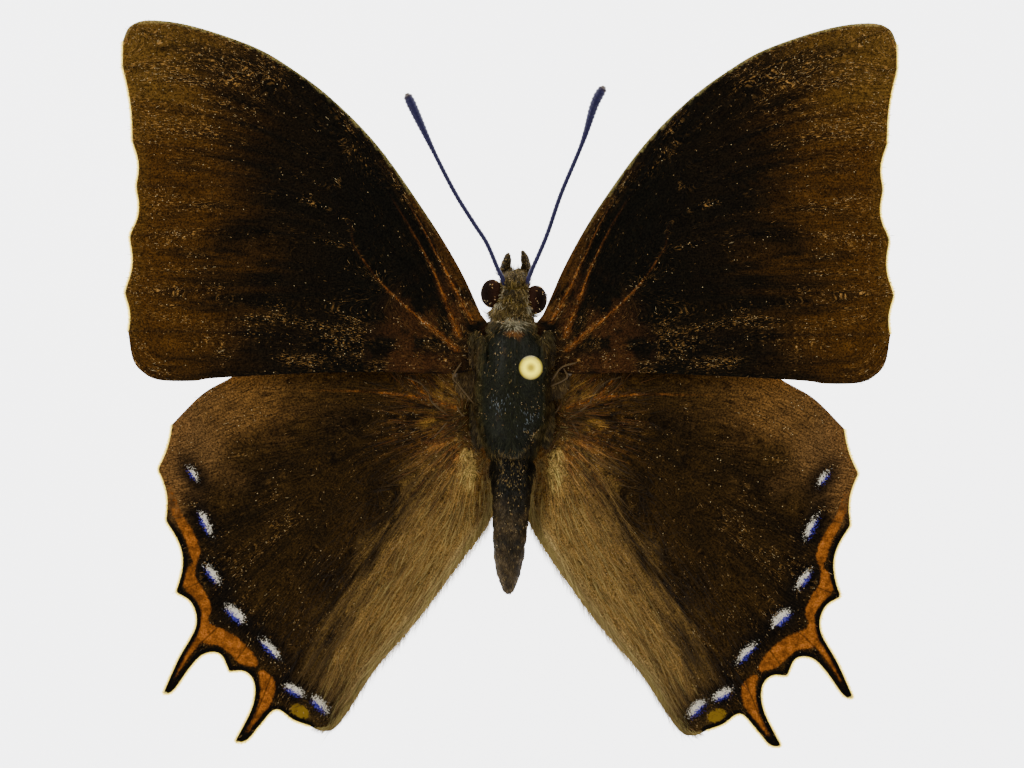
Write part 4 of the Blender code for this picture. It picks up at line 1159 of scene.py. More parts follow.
def remeshed(shape, voxel, cutters):
    """The shape's pieces fused into one even skin, with the cutters' room taken out of it."""
    body = temporary("body_pieces", shape)
    helpers = []
    fuse = body.modifiers.new("Fuse", "REMESH")
    fuse.mode = "VOXEL"
    fuse.voxel_size = voxel
    for cutter in cutters:
        helper = temporary("cutter", cutter)
        helpers.append(helper)
        cut = body.modifiers.new("Cut", "BOOLEAN")
        cut.operation = "DIFFERENCE"
        cut.object = helper
        cut.solver = "EXACT"
    even = body.modifiers.new("Even", "REMESH")
    even.mode = "VOXEL"
    even.voxel_size = voxel
    finished = body.evaluated_get(bpy.context.evaluated_depsgraph_get())
    mesh = bpy.data.meshes.new_from_object(finished)
    for obj in (body, *helpers):
        bpy.data.objects.remove(obj)
    bm = bmesh.new()
    bm.from_mesh(mesh)
    trunk = [v for v in bm.verts if TRUNK_REAR < v.co.y < TRUNK_FRONT and v.co.z > TRUNK_LOW]
    for verts, times in ((bm.verts, SMOOTHINGS), (trunk, TRUNK_SMOOTHINGS)):
        for _ in range(times):
            bmesh.ops.smooth_vert(bm, verts=verts, factor=0.5, use_axis_x=True, use_axis_y=True,
                                  use_axis_z=True)
    bmesh.ops.recalc_face_normals(bm, faces=bm.faces)
    bm.normal_update()
    points = np.array([tuple(v.co) for v in bm.verts])
    normals = np.array([tuple(v.normal) for v in bm.verts])
    faces = [tuple(v.index for v in face.verts) for face in bm.faces]
    bm.free()
    bpy.data.meshes.remove(mesh)
    return points, normals, faces


def abdomen_rings():
    """The abdomen's rings; each segment swells to its rear and overlaps the next a little."""
    shares, sizes = zip(*ABDOMEN_PROFILE)
    rings = []
    count = ABDOMEN_SEGMENTS * RINGS_IN_SEGMENT
    for i in range(count + 1):
        share = i / count
        size = float(np.interp(share, shares, sizes)) - COAT_DEPTH
        step = (i % RINGS_IN_SEGMENT) / RINGS_IN_SEGMENT
        size += SEGMENT_STEP * step - SEGMENT_STEP / 2
        lean = ABDOMEN_LEAN * math.sin(math.pi * share / 2) ** 2
        fore = ABDOMEN_START + (ABDOMEN_END - ABDOMEN_START) * share
        rings.append((fore, lean, size, ABDOMEN_TOP - ABDOMEN_FALL * share, ABDOMEN_DEPTH * size))
    return rings


def shrunk(rings):
    """The rings made smooth and brought in by the depth of the coat."""
    rows = curve_through(rings, RING_STEP)
    rows[:, 2] -= COAT_DEPTH
    rows[:, 4] -= COAT_DEPTH
    return np.maximum(rows, (-99, -99, 0.2, 0, 0.2))


def body_shape():
    """All the pieces of flesh, overlapping, ready to be fused."""
    head = shrunk(HEAD_RINGS)
    head[:, 2] *= 1.0 - 0.3 * np.exp(-((head[:, 0] - 7.4) / 0.9) ** 2)
    shapes = [shape_of(body_loft(head, 40)), shape_of(body_loft(shrunk(THORAX_RINGS), 48)),
              shape_of(body_loft(abdomen_rings(), 40))]
    shapes += [shape_of(body_loft(NECK_RINGS, 32)), shape_of(body_loft(WAIST_RINGS, 32))]
    for side in (-1, 1):
        x, y, z = TEGULA_CENTRE
        a, b, c = TEGULA_RADII
        shapes.append(ball((side * (x - 0.25), y, z - 0.4), (a - 0.1, b - 0.05, c)))
        for (out, fore, height), radii in SIDE_LOBES:
            shapes.append(ball((side * out, fore, height), radii))
    x, y, z = SCUTELLUM_CENTRE
    a, b, c = SCUTELLUM_RADII
    shapes.append(ball((x, y, z - 0.05), (a - 0.05, b - 0.05, c)))
    for path in PALP_PATHS.values():
        line = curve_through(path, PALP_STEP)
        marks = np.linspace(0, 1, len(PALP_RADII))
        radii = np.interp(np.linspace(0, 1, len(line)), marks, PALP_RADII)
        shapes.append(tube(line, radii, PALP_SIDES))
    return joined(shapes)


def shield_end(x):
    """How far rearward the shield of the back reaches: to a point, skewed to the left."""
    x0, y0 = SHIELD_POINT
    return y0 + np.where(x < x0, 0.5 * (x0 - x), 1.25 * (x - x0))


def shield_half(y):
    """Half the width of the back's shield, which is rounded at the front."""
    return 2.62 - 0.16 * np.maximum(0.0, y - 1.5) ** 1.8


def body_relief(points):
    """How far the surface rises along its normal: the grooves, slits and shields of the back."""
    x, y, z = points.T
    top = ease(26.6, 27.4, z)
    rise = -0.12 * np.exp(-((x - 0.12) / 0.07) ** 2) * ease(-4.4, -3.2, y) * ease(4.4, 3.4, y) * top
    side = np.abs(x - 0.1)
    slit = np.exp(-((side - 2.15 - 0.05 * (2.3 - y) ** 2) / 0.12) ** 2)
    rise = rise - 0.3 * slit * ease(1.4, 2.2, y) * ease(4.4, 3.8, y) * top
    rear_rim = 0.12 * np.exp(-((y - shield_end(x)) / 0.16) ** 2) * ease(25.6, 26.4, z)
    rise = rise - rear_rim * ease(2.8, 2.3, np.abs(x))
    lumps = soft_noise(np.stack([x + 0.7 * z, y], axis=1), 0.5, 61) - 0.5
    return rise + 0.05 * lumps * (1.0 - 0.7 * top)


BACK_BLACK = colour("#1f2013")
BACK_OLIVE = colour("#403a1f")
WAIST_BLACK = colour("#14130c")
LOBE_BROWN = colour("#5c4828")
FLANK_BROWN = colour("#38280f")
WISP_GREY = colour("#7b8488")
SIDE_BROWN = colour("#4a3f22")
HEAD_BROWN = colour("#56461a")
NECK_CREAM = colour("#c9bf9c")
NECK_RUST = colour("#8a5a2c")
ABDOMEN_BROWN = colour("#4a3c26")
ABDOMEN_DARK = colour("#1f1c12")
BELLY_GREY = colour("#7a6c54")
PALP_BROWN = colour("#342a18")
EYE_BLACK = colour("#17110e")
# Lighter red brown: partly the eye's own colour, partly a painted sheen.
EYE_RED_AND_SHEEN = colour("#3a241a")
HAIR_GOLD = colour("#9a7f48")
ANTENNA_BLUE = colour("#1f1b44")
ANTENNA_TIP = colour("#5a4c3a")


def body_tint(points):
    """The body's colours, which its skin and its hair share."""
    x, y, z = points.T
    flat = points[:, :2]
    patch = soft_noise(flat, 0.6, 71) - 0.5
    tint = np.tile(SIDE_BROWN, (len(points), 1))
    tint = mix(tint, BELLY_GREY, 0.8 * ease(25.2, 23.4, z + patch))
    behind = shield_end(x) - y
    back = ease(25.9, 26.9, z) * ease(0.15, -0.15, behind) * ease(5.0, 4.2, y)
    tint = mix(tint, BACK_OLIVE, back)
    shield = back * ease(0.15, -0.25, np.abs(x - 0.1) - shield_half(y) + 0.4 * patch)
    tint = mix(tint, BACK_BLACK, shield)
    tint = mix(tint, HEAD_BROWN, ease(5.2, 5.9, y) * ease(23.6, 24.6, z))
    tint = mix(tint, PALP_BROWN, ease(9.1, 9.6, y))
    neck = np.exp(-((np.hypot(x - 0.05, y - 5.1)) / 0.55) ** 2)
    sides = np.exp(-(np.hypot(np.abs(x) - 2.1, y - 5.3) / 0.35) ** 2)
    cream = np.maximum(neck, sides) * ease(-0.35, 0.1, patch)
    tint = mix(tint, NECK_CREAM, 0.9 * cream * ease(25.0, 26.0, z))
    rust = np.exp(-(np.hypot(x + 0.05, (y - 4.2) * 1.9) / 0.75) ** 2) * ease(26.0, 27.0, z)
    tint = mix(tint, NECK_RUST, 0.75 * ease(0.3, 0.7, rust + 0.8 * patch))
    flank = ease(0.0, 0.4, np.abs(x) - shield_half(y) + 0.4 * patch) * ease(-6.0, -5.0, y) * ease(5.2, 4.4, y)
    tint = mix(tint, FLANK_BROWN, (0.85 - 0.5 * ease(2.5, 4.0, y)) * flank * ease(24.8, 25.8, z))
    lobe = ease(3.0, 3.5, np.abs(x)) * ease(2.6, 1.8, y) * ease(-2.6, -1.8, y) * ease(25.2, 25.6, z)
    tint = mix(tint, LOBE_BROWN, 0.8 * lobe)
    tail = ease(-6.0, -6.8, y)
    tint = mix(tint, ABDOMEN_BROWN, tail * ease(24.2, 25.0, z))
    tint = mix(tint, ABDOMEN_DARK, 0.8 * tail * ease(26.0, 26.8, z + patch))
    black = ease(0.0, 0.25, behind) * ease(-11.0, -8.5, y) * ease(25.0, 25.8, z) * ease(2.2, 1.5, np.abs(x))
    return mix(tint, WAIST_BLACK, 0.9 * black)


def surface_samples(points, normals, faces, count):
    """Random places on a surface with their normals, evenly spread."""
    halves = [(face[0], face[1], face[2]) for face in faces]
    halves += [(face[0], face[2], face[3]) for face in faces if len(face) > 3]
    triangles = np.array(halves)
    a, b, c = (points[triangles[:, i]] for i in range(3))
    areas = np.linalg.norm(np.cross(b - a, c - a), axis=1)
    chosen = RANDOM.choice(len(triangles), size=count, p=areas / areas.sum())
    u, v = RANDOM.random(count), RANDOM.random(count)
    over = u + v > 1
    u[over], v[over] = 1 - u[over], 1 - v[over]
    w = 1 - u - v
    corners = triangles[chosen]
    weights = np.stack([w, u, v], axis=1)[..., None]
    places = (points[corners] * weights).sum(axis=1)
    ways = (normals[corners] * weights).sum(axis=1)
    return places, ways / (np.linalg.norm(ways, axis=1)[:, None] + 1e-9)


def body_places(points):
    """Where these points lie on the body's unwrap: round it across, and along it upwards."""
    x, y, z = points.T
    around = (np.arctan2(x - 0.05, z - 25.1) / (2 * math.pi)) % 1.0
    room = 1.0 - 2 * MAP_RIM
    return np.stack([MAP_RIM + room * around, MAP_RIM + room * (y + 18.0) / 30.0], axis=1)


def build_body(skin_material, hair_material, scale_material):
    """One skin over head, palps, thorax and abdomen, its hair and its loose scales."""
    cutters = [ball(centre, tuple(0.94 * r for r in EYE_RADII)) for centre in EYES.values()]
    points, normals, faces = remeshed(body_shape(), SKIN_VOXEL, cutters)
    points = points + normals * body_relief(points)[:, None]
    side = np.abs(points[:, 0] - 0.1) - shield_half(points[:, 1])
    gloss = ease(26.4, 27.2, points[:, 2]) * ease(0.0, -0.5, side)
    gloss = gloss * ease(-5.2, -4.4, points[:, 1]) * ease(4.6, 4.0, points[:, 1])
    new_piece("body_skin", points, faces, [skin_material],
              ["head", "thorax", "abdomen", "palp_left", "palp_right"],
              {"tint": body_tint(points), "rough": 0.75 - 0.42 * gloss})
    build_body_hair(points, normals, faces, hair_material)
    build_body_scales(points, normals, faces, scale_material)


def build_body_hair(points, normals, faces, material):
    """Hair that lies to the rear: long on the head, the neck and the waist, short on the shield."""
    roots, up = surface_samples(points, normals, faces, BODY_HAIR_TRIES)
    x, y, z = roots.T
    shield = ease(26.3, 27.0, z) * ease(0.25, -0.15, np.abs(x - 0.1) - shield_half(y))
    shield = shield * ease(-4.9, -4.2, y) * ease(4.6, 4.0, y)
    eyes = np.min([np.hypot(np.hypot((x - e[0]) / 1.02, (y - e[1]) / 1.27), (z - e[2]) / 1.52)
                   for e in EYES.values()], axis=0)
    head, palp, tail = ease(5.3, 5.8, y), ease(9.3, 9.7, y), ease(-6.0, -7.2, y)
    share = 1.0 - 0.55 * shield
    keep = (RANDOM.random(len(roots)) < share) & (eyes > 1.0)
    roots, up, shield, head, palp, tail = (v[keep] for v in (roots, up, shield, head, palp, tail))
    x, y, z = roots.T
    length = 0.5 + 0.15 * head
    length = length + (0.16 - length) * palp
    length = length + (0.24 - length) * tail
    length = length + (0.26 - length) * shield
    beside_eye = head * ease(0.8, 1.2, np.abs(x - 0.15)) * ease(6.2, 6.7, y)
    length = length * (1.0 - 0.6 * beside_eye)
    waist = np.exp(-((y + 6.6) / 1.3) ** 2) * ease(0.8, 1.5, np.abs(x))
    length = length + 0.7 * waist + 0.25 * ease(24.4, 23.2, z) * (1 - tail)
    cheek = np.exp(-((np.abs(x) - 1.5) / 0.5) ** 2 - ((y - 5.6) / 0.6) ** 2)
    collar = np.exp(-((np.abs(x) - 1.9) / 0.6) ** 2 - ((y - 4.5) / 0.4) ** 2) * ease(25.6, 26.4, z)
    length = length + 0.8 * cheek + 0.45 * collar
    length = length * RANDOM.uniform(0.6, 1.25, len(roots))
    forward = head * ease(7.2, 8.6, y)
    outward = np.sign(x) * (0.25 * (1 - tail) * (1 - head) + 1.6 * cheek + 0.5 * collar)
    lie = np.stack([outward, np.where((forward > 0.5) | (collar > 0.4), 1.0, -1.0), 0.0 * x], axis=1)
    lie = lie + RANDOM.normal(0.0, 1.0, lie.shape) * (0.22 + 0.28 * head)[:, None]
    lie = lie - up * (lie * up).sum(axis=1)[:, None]
    lie /= np.linalg.norm(lie, axis=1)[:, None] + 1e-9
    stand = 0.28 + 0.3 * head - 0.05 * tail - 0.16 * shield + 0.25 * waist
    stand = stand + (0.2 - stand) * palp
    ahead = lie + up * (stand * RANDOM.uniform(0.5, 1.5, len(roots)))[:, None]
    bright = RANDOM.random(len(roots))
    contrast = (0.45 + 0.45 * head + 0.4 * shield) * (1.0 - palp)
    strength = 0.6 - 0.45 * contrast + (0.9 + 1.6 * contrast) * bright ** (1.0 + contrast)
    clump = ease(0.3, 0.7, soft_noise(roots[:, :2] + 0.4 * z[:, None], 0.34, 95))
    strength = strength * (1.0 + (0.9 - 0.6 * palp - 0.4 * shield) * (clump - 0.5))
    tints = body_tint(roots) * strength[:, None]
    shoulder = 0.8 * np.exp(-((y - shield_end(x)) / 0.25) ** 2)
    shoulder = shoulder + ease(-5.2, -6.0, y) * ease(-9.5, -7.5, y)
    golden = RANDOM.random(len(roots)) < 0.03 + 0.25 * head + 0.16 * shoulder * ease(25.8, 26.8, z)
    golden |= RANDOM.random(len(roots)) < 0.35 * collar
    tints = np.where(golden[:, None], mix(tints, HAIR_GOLD, 0.3 + 0.7 * bright), tints)
    neck = np.exp(-(np.hypot((x - 0.2) / 1.0, y - 5.1) / 0.55) ** 2)
    neck = neck + 0.7 * np.exp(-(np.hypot(np.abs(x) - 2.0, y - 5.35) / 0.35) ** 2)
    for out, fore in EYE_TUFTS:
        neck = neck + 1.3 * np.exp(-(np.hypot(x - out, y - fore) / 0.26) ** 2)
    white = RANDOM.random(len(roots)) < 0.36 * neck * ease(25.4, 26.2, z)
    tints = np.where(white[:, None], mix(tints, NECK_CREAM, 0.5 + 0.5 * bright), tints)
    length = np.where(white, 0.75, length)
    wisp = np.exp(-(np.hypot(x + 1.1, y + 1.6) / 0.65) ** 2)
    wisp = wisp + np.exp(-(np.hypot(x - 1.4, y + 2.9) / 0.7) ** 2)
    grey = RANDOM.random(len(roots)) < 0.4 * wisp * shield
    tints = np.where(grey[:, None], mix(tints, WISP_GREY, 0.3 + 0.6 * bright), tints)
    width = 0.022 + 0.016 * RANDOM.random(len(roots)) + 0.01 * tail + 0.012 * palp + 0.008 * head
    order = np.argsort(roots[:, 1])
    half = len(order) // 2
    for name, chosen in (("rear_body_hair", order[:half]), ("front_body_hair", order[half:])):
        coat_piece(name, HAIR, roots[chosen], ahead[chosen], up[chosen], length[chosen], width[chosen],
                   np.clip(tints[chosen], 0, 1), body_places(roots[chosen]), material)


def build_body_scales(points, normals, faces, material):
    """Loose golden scales on the back, thick along the shield's rear edge and behind it."""
    roots, up = surface_samples(points, normals, faces, BODY_SCALE_TRIES)
    x, y, z = roots.T
    behind = shield_end(x) - y
    inside = ease(2.9, 2.3, np.abs(x))
    clumps = ease(0.35, 0.75, soft_noise(roots[:, :2], 0.5, 81))
    share = 0.03 * clumps + 0.5 * np.exp(-(behind / 0.15) ** 2) * inside * (0.3 + 0.7 * clumps)
    share = share + 0.1 * clumps * ease(0.0, 0.6, behind) * ease(-10.0, -8.0, y) * ease(1.9, 1.3, np.abs(x))
    share = share + 0.1 * clumps * ease(2.4, 2.8, np.abs(x)) + 0.09 * ease(3.8, 4.8, y)
    keep = RANDOM.random(len(roots)) < share * ease(25.4, 26.2, z)
    roots, up = roots[keep], up[keep]
    # On the head the scales are caught in the hair, a little above the skin
    hairy = ease(4.4, 5.4, roots[:, 1]) * ease(9.6, 9.0, roots[:, 1])
    roots = roots + up * (0.03 + 0.22 * hairy)[:, None]
    for centre in EYES.values():
        way = RANDOM.normal(0.0, 1.0, (EYE_SCALES, 3))
        way[:, 2] = np.abs(way[:, 2])
        way /= np.linalg.norm(way, axis=1)[:, None]
        roots = np.vstack([roots, np.array(centre) + way * EYE_RADII])
        up = np.vstack([up, way])
    ahead = RANDOM.normal(0.0, 1.0, roots.shape)
    ahead = ahead - up * (ahead * up).sum(axis=1)[:, None]
    ahead = ahead / np.linalg.norm(ahead, axis=1)[:, None] + 0.3 * up
    bright = RANDOM.random(len(roots))
    # From gold to pale: partly the scales' own pale gold, partly painted glints.
    tints = mix(np.tile(GOLD, (len(roots), 1)), PALE_GOLD_AND_GLINT, bright)
    length = 0.08 + 0.18 * RANDOM.random(len(roots)) ** 2
    width = 0.04 + 0.06 * RANDOM.random(len(roots)) ** 2
    coat_piece("body_golden_scales", SCALE, roots, ahead, up, length, width, tints,
               body_places(roots), material)


def tinted_material(name, roughness, specular, grain, depth):
    """A material that reads its colour from the mesh, with a fine grain of this size in mm."""
    material, tree, shader = new_material(name, roughness, specular)
    tint = add(tree, "Attribute", attribute_name="tint")
    place = add(tree, "TexCoord", result="Object")
    noise = add(tree, "TexNoise", {"Vector": place, "Scale": 1.0 / (grain * MM), "Detail": 3.0})
    shade = add(tree, "MapRange", {"Value": noise, "From Min": 0.3, "From Max": 0.7,
                                   "To Min": 0.55, "To Max": 1.45})
    mottled = add(tree, "VectorMath", {0: tint, 3: shade}, operation="SCALE")
    tree.links.new(mottled, shader.inputs["Base Color"])
    bump = add(tree, "Bump", {"Height": noise, "Strength": 0.8, "Distance": depth * MM})
    tree.links.new(bump, shader.inputs["Normal"])
    return material, tree, shader


def plain_tint_material(name, roughness, specular):
    """A material that only reads its colour from the mesh, for tufts too small to show a grain."""
    material, tree, shader = new_material(name, roughness, specular)
    tint = add(tree, "Attribute", attribute_name="tint")
    tree.links.new(tint, shader.inputs["Base Color"])
    return material


def fringe_material():
    """The fringe's thin yellow scales. They give off their own colour, a painted glow in place of the pale
    ground's light shining through them.
    """
    material, tree, shader = new_material("yellow wing fringe with painted glow", 0.6, 0.2)
    tint = add(tree, "Attribute", attribute_name="tint")
    tree.links.new(tint, shader.inputs["Base Color"])
    # Painted glow: the scales give off their colour, though they are no lamp.
    tree.links.new(tint, shader.inputs["Emission Color"])
    shader.inputs["Emission Strength"].default_value = 2.2
    return material


def wing_material(name, hind):
    """Dusty wing scales: a fine grain, streaks along the veins and bright specks, the brightest of them
    painted glints.

    Scales are dull and drink the light, so there is next to no gloss. Real ones are 0.05 to 0.1 mm
    wide, less than a pixel, so the grain is drawn at 0.15 mm.
    """
    material, tree, shader = new_material(name, 0.6, 0.04)
    tint = add(tree, "Attribute", attribute_name="tint")
    lie = add(tree, "Attribute", result="Vector", attribute_name="lie")
    dust = add(tree, "Attribute", result="Fac", attribute_name="dust")
    edge = add(tree, "Attribute", result="Fac", attribute_name="edge")
    place = add(tree, "TexCoord", result="Object")
    long_lie = add(tree, "VectorMath", {0: lie, 1: (1 / 0.13, 1 / 1.6, 1.0)}, operation="MULTIPLY")
    streak = add(tree, "TexNoise", {"Vector": long_lie, "Scale": 1.0, "Detail": 3.0, "Roughness": 0.7})
    grain = add(tree, "TexNoise", {"Vector": place, "Scale": 1 / (0.15 * MM), "Detail": 2.0,
                                   "Roughness": 0.8})
    fine = add(tree, "MapRange", {"Value": grain, "From Min": 0.35, "From Max": 0.65,
                                  "To Min": 0.2, "To Max": 1.8})
    lines = add(tree, "MapRange", {"Value": streak, "From Min": 0.32, "From Max": 0.68,
                                   "To Min": 0.3 if hind else 0.55, "To Max": 1.7 if hind else 1.45})
    shade = add(tree, "Math", {0: fine, 1: lines}, operation="MULTIPLY")
    # The rusty veins, worn through in places
    rust = add(tree, "Attribute", result="Fac", attribute_name="rust")
    left_on = add(tree, "MapRange", {"Value": streak, "From Min": 0.42, "From Max": 0.58,
                                     "To Min": 0.25})
    rust = add(tree, "Math", {0: rust, 1: left_on}, operation="MULTIPLY")
    base = add(tree, "Mix", {0: rust, 6: tint, 7: (*RUST, 1.0)}, result=2, data_type="RGBA")
    base = add(tree, "VectorMath", {0: base, 3: shade}, operation="SCALE")
    # Golden scales that lie in rows along the veins
    fleck_lie = add(tree, "VectorMath", {0: lie, 1: (1 / 0.09, 1 / 0.45, 1.0)}, operation="MULTIPLY")
    fleck = add(tree, "TexNoise", {"Vector": fleck_lie, "Scale": 1.0, "Detail": 2.0, "Roughness": 0.6})
    fleck = add(tree, "MapRange", {"Value": fleck, "From Min": 0.55, "From Max": 0.72},
                interpolation_type="SMOOTHSTEP")
    rows = add(tree, "Math", {0: dust, 1: 0.7 if hind else 1.3}, operation="MULTIPLY", use_clamp=True)
    fleck = add(tree, "Math", {0: fleck, 1: rows}, operation="MULTIPLY")
    base = add(tree, "Mix", {0: fleck, 6: base, 7: (*GOLD, 1.0)}, result=2, data_type="RGBA")
    # Single bright scales: a dot in some of the cells, more of them where the dust lies thick; the brightest
    # turn pale, as painted glints
    reach = add(tree, "TexVoronoi", {"Vector": place, "Scale": 1 / (0.12 * MM)},
                result="Distance", voronoi_dimensions="2D")
    chance = add(tree, "SeparateColor", {"Color": reach.node.outputs["Color"]}, result="Red")
    bright = add(tree, "Math", {0: chance.node.outputs["Green"], 1: 2.0}, operation="POWER")
    share = add(tree, "Math", {0: dust, 1: 0.3}, operation="MULTIPLY")
    chosen = add(tree, "Math", {0: chance, 1: share}, operation="LESS_THAN")
    dot = add(tree, "MapRange", {"Value": reach, "From Min": 0.42, "From Max": 0.15},
              interpolation_type="SMOOTHSTEP")
    dot = add(tree, "Math", {0: dot, 1: chosen}, operation="MULTIPLY")
    dot = add(tree, "Math", {0: dot, 1: bright}, operation="MULTIPLY")
    # The brightest dots go from gold to pale: painted glints.
    white = add(tree, "Math", {0: bright, 1: 3.0}, operation="POWER")
    gold = add(tree, "Mix", {0: white, 6: (*GOLD, 1.0), 7: (*PALE_GOLD_AND_GLINT, 1.0)}, result=2, data_type="RGBA")
    base = add(tree, "Mix", {0: dot, 6: base, 7: gold}, result=2, data_type="RGBA")
    if hind:
        base = hindwing_paint(tree, base, place)
    # The pale rim under the fringe
    rim = add(tree, "Math", {0: grain, 1: 0.1, 2: edge}, operation="MULTIPLY_ADD")
    rim = add(tree, "MapRange", {"Value": rim, "From Min": 0.17, "From Max": 0.1},
              interpolation_type="SMOOTHSTEP")
    base = add(tree, "Mix", {0: rim, 6: base, 7: (*FRINGE, 1.0)}, result=2, data_type="RGBA")
    tree.links.new(base, shader.inputs["Base Color"])
    height = add(tree, "Math", {0: streak, 1: 0.8, 2: grain}, operation="MULTIPLY_ADD")
    bump = add(tree, "Bump", {"Height": height, "Strength": 0.7, "Distance": 0.03 * MM})
    tree.links.new(bump, shader.inputs["Normal"])
    return material


def hindwing_paint(tree, base, place):
    """The orange border, its dark edge, the ochre patch and the two-coloured spots."""
    fields = {
        name: add(tree, "Attribute", result="Fac", attribute_name=name)
        for name in ("edge", "border", "vein", "ochre", "spot", "spot_side")
    }
    ragged = add(tree, "TexNoise", {"Vector": place, "Scale": 1 / (0.2 * MM), "Detail": 3.0,
                                    "Roughness": 0.75})
    rough = add(tree, "Math", {0: ragged, 1: 0.5}, operation="SUBTRACT")
    teeth = add(tree, "TexNoise", {"Vector": place, "Scale": 1 / (0.13 * MM), "Detail": 2.0,
                                   "Roughness": 0.8})
    teeth = add(tree, "Math", {0: teeth, 1: 0.5}, operation="SUBTRACT")
    fore = add(tree, "SeparateXYZ", {"Vector": place}, result="Y")
    brown = add(tree, "MapRange", {"Value": fore, "From Min": -12.5 * MM, "From Max": -9.5 * MM},
                interpolation_type="SMOOTHSTEP")
    border = add(tree, "Math", {0: rough, 1: 0.6, 2: fields["border"]}, operation="MULTIPLY_ADD")
    border = add(tree, "MapRange", {"Value": border, "From Min": -0.08, "From Max": 0.1},
                 interpolation_type="SMOOTHSTEP")
    vein = add(tree, "Math", {0: rough, 1: 0.15, 2: fields["vein"]}, operation="MULTIPLY_ADD")
    vein = add(tree, "MapRange", {"Value": vein, "From Min": 0.0, "From Max": 0.12,
                                  "To Min": 0.35}, interpolation_type="SMOOTHSTEP")
    share = add(tree, "Math", {0: border, 1: vein}, operation="MULTIPLY")
    orange = add(tree, "Mix", {0: brown, 6: (*BORDER_ORANGE, 1.0), 7: (*BORDER_BROWN, 1.0)},
                 result=2, data_type="RGBA")
    patchy = add(tree, "MapRange", {"Value": ragged, "From Min": 0.48, "From Max": 0.62})
    orange = add(tree, "Mix", {0: patchy, 6: orange, 7: (*RUST, 1.0)}, result=2, data_type="RGBA")
    shade = add(tree, "MapRange", {"Value": teeth, "From Min": -0.16, "From Max": 0.16,
                                   "To Min": 0.55, "To Max": 1.35})
    orange = add(tree, "VectorMath", {0: orange, 3: shade}, operation="SCALE")
    blotch = add(tree, "TexNoise", {"Vector": place, "Scale": 1 / (0.7 * MM), "Detail": 2.0,
                                    "Roughness": 0.6})
    shade = add(tree, "MapRange", {"Value": blotch, "From Min": 0.36, "From Max": 0.62,
                                   "To Min": 0.5, "To Max": 1.25})
    orange = add(tree, "VectorMath", {0: orange, 3: shade}, operation="SCALE")
    base = add(tree, "Mix", {0: share, 6: base, 7: orange}, result=2, data_type="RGBA")
    edge = add(tree, "Math", {0: rough, 1: 0.35, 2: fields["edge"]}, operation="MULTIPLY_ADD")
    edge = add(tree, "MapRange", {"Value": edge, "From Min": 0.58, "From Max": 0.34},
               interpolation_type="SMOOTHSTEP")
    orange_zone = add(tree, "Math", {0: 1.0, 1: brown}, operation="SUBTRACT")
    edge = add(tree, "Math", {0: edge, 1: orange_zone}, operation="MULTIPLY")
    base = add(tree, "Mix", {0: edge, 6: base, 7: (*SPOT_RING, 1.0)}, result=2, data_type="RGBA")
    ochre = add(tree, "Math", {0: rough, 1: 0.5, 2: fields["ochre"]}, operation="MULTIPLY_ADD")
    ochre = add(tree, "MapRange", {"Value": ochre, "From Min": -0.04, "From Max": 0.06},
                interpolation_type="SMOOTHSTEP")
    base = add(tree, "Mix", {0: ochre, 6: base, 7: (*OCHRE, 1.0)}, result=2, data_type="RGBA")
    side = add(tree, "Math", {0: teeth, 1: 3.5, 2: fields["spot_side"]}, operation="MULTIPLY_ADD")
    side = add(tree, "MapRange", {"Value": side, "From Min": -0.4, "From Max": 0.0},
               interpolation_type="SMOOTHSTEP")
    cream = add(tree, "Mix", {0: side, 6: (*SPOT_VIOLET, 1.0), 7: (*SPOT_CREAM, 1.0)},
                result=2, data_type="RGBA")
    spot = add(tree, "Math", {0: teeth, 1: 1.3, 2: fields["spot"]}, operation="MULTIPLY_ADD")
    spot = add(tree, "MapRange", {"Value": spot, "From Min": -0.04, "From Max": 0.06},
               interpolation_type="SMOOTHSTEP")
    return add(tree, "Mix", {0: spot, 6: base, 7: cream}, result=2, data_type="RGBA")


def colour_material(name, code, roughness, specular=0.5, metallic=0.0, grain=0.0, depth=0.0):
    """A plain material of one colour, with a fine bump of this grain in mm if one is given."""
    material, tree, shader = new_material(name, roughness, specular, metallic)
    shader.inputs["Base Color"].default_value = (*colour(code), 1.0)
    if grain:
        place = add(tree, "TexCoord", result="Object")
        noise = add(tree, "TexNoise", {"Vector": place, "Scale": 1.0 / (grain * MM), "Detail": 3.0})
        bump = add(tree, "Bump", {"Height": noise, "Distance": depth * MM})
        tree.links.new(bump, shader.inputs["Normal"])
    return material


def build_antennae(material):
    """The feelers, with a ring at each joint and a club at the end."""
    for side, path in ANTENNA_PATHS.items():
        line = curve_through(path, ANTENNA_JOINT / 4)
        steps = np.linalg.norm(np.diff(line, axis=0), axis=1)
        travelled = np.concatenate([[0.0], np.cumsum(steps)])
        shares, sizes = zip(*CLUB_SHAPE)
        radii = np.interp((travelled - travelled[-1] + CLUB_LENGTH) / CLUB_LENGTH, shares, sizes)
        radii = radii * (1.0 + 0.07 * np.cos(2 * math.pi * travelled / ANTENNA_JOINT))
        tip = ease(travelled[-1] - 0.5, travelled[-1], travelled)
        tints = mix(np.tile(ANTENNA_BLUE, (len(line), 1)), ANTENNA_TIP, tip)
        points, faces = tube(line, radii, ANTENNA_SIDES)
        obj = new_piece(f"{side}_antenna", points, faces, [material], [f"antenna_{side}"],
                        {"tint": np.repeat(tints, ANTENNA_SIDES, axis=0)})
        turn_outward(obj)


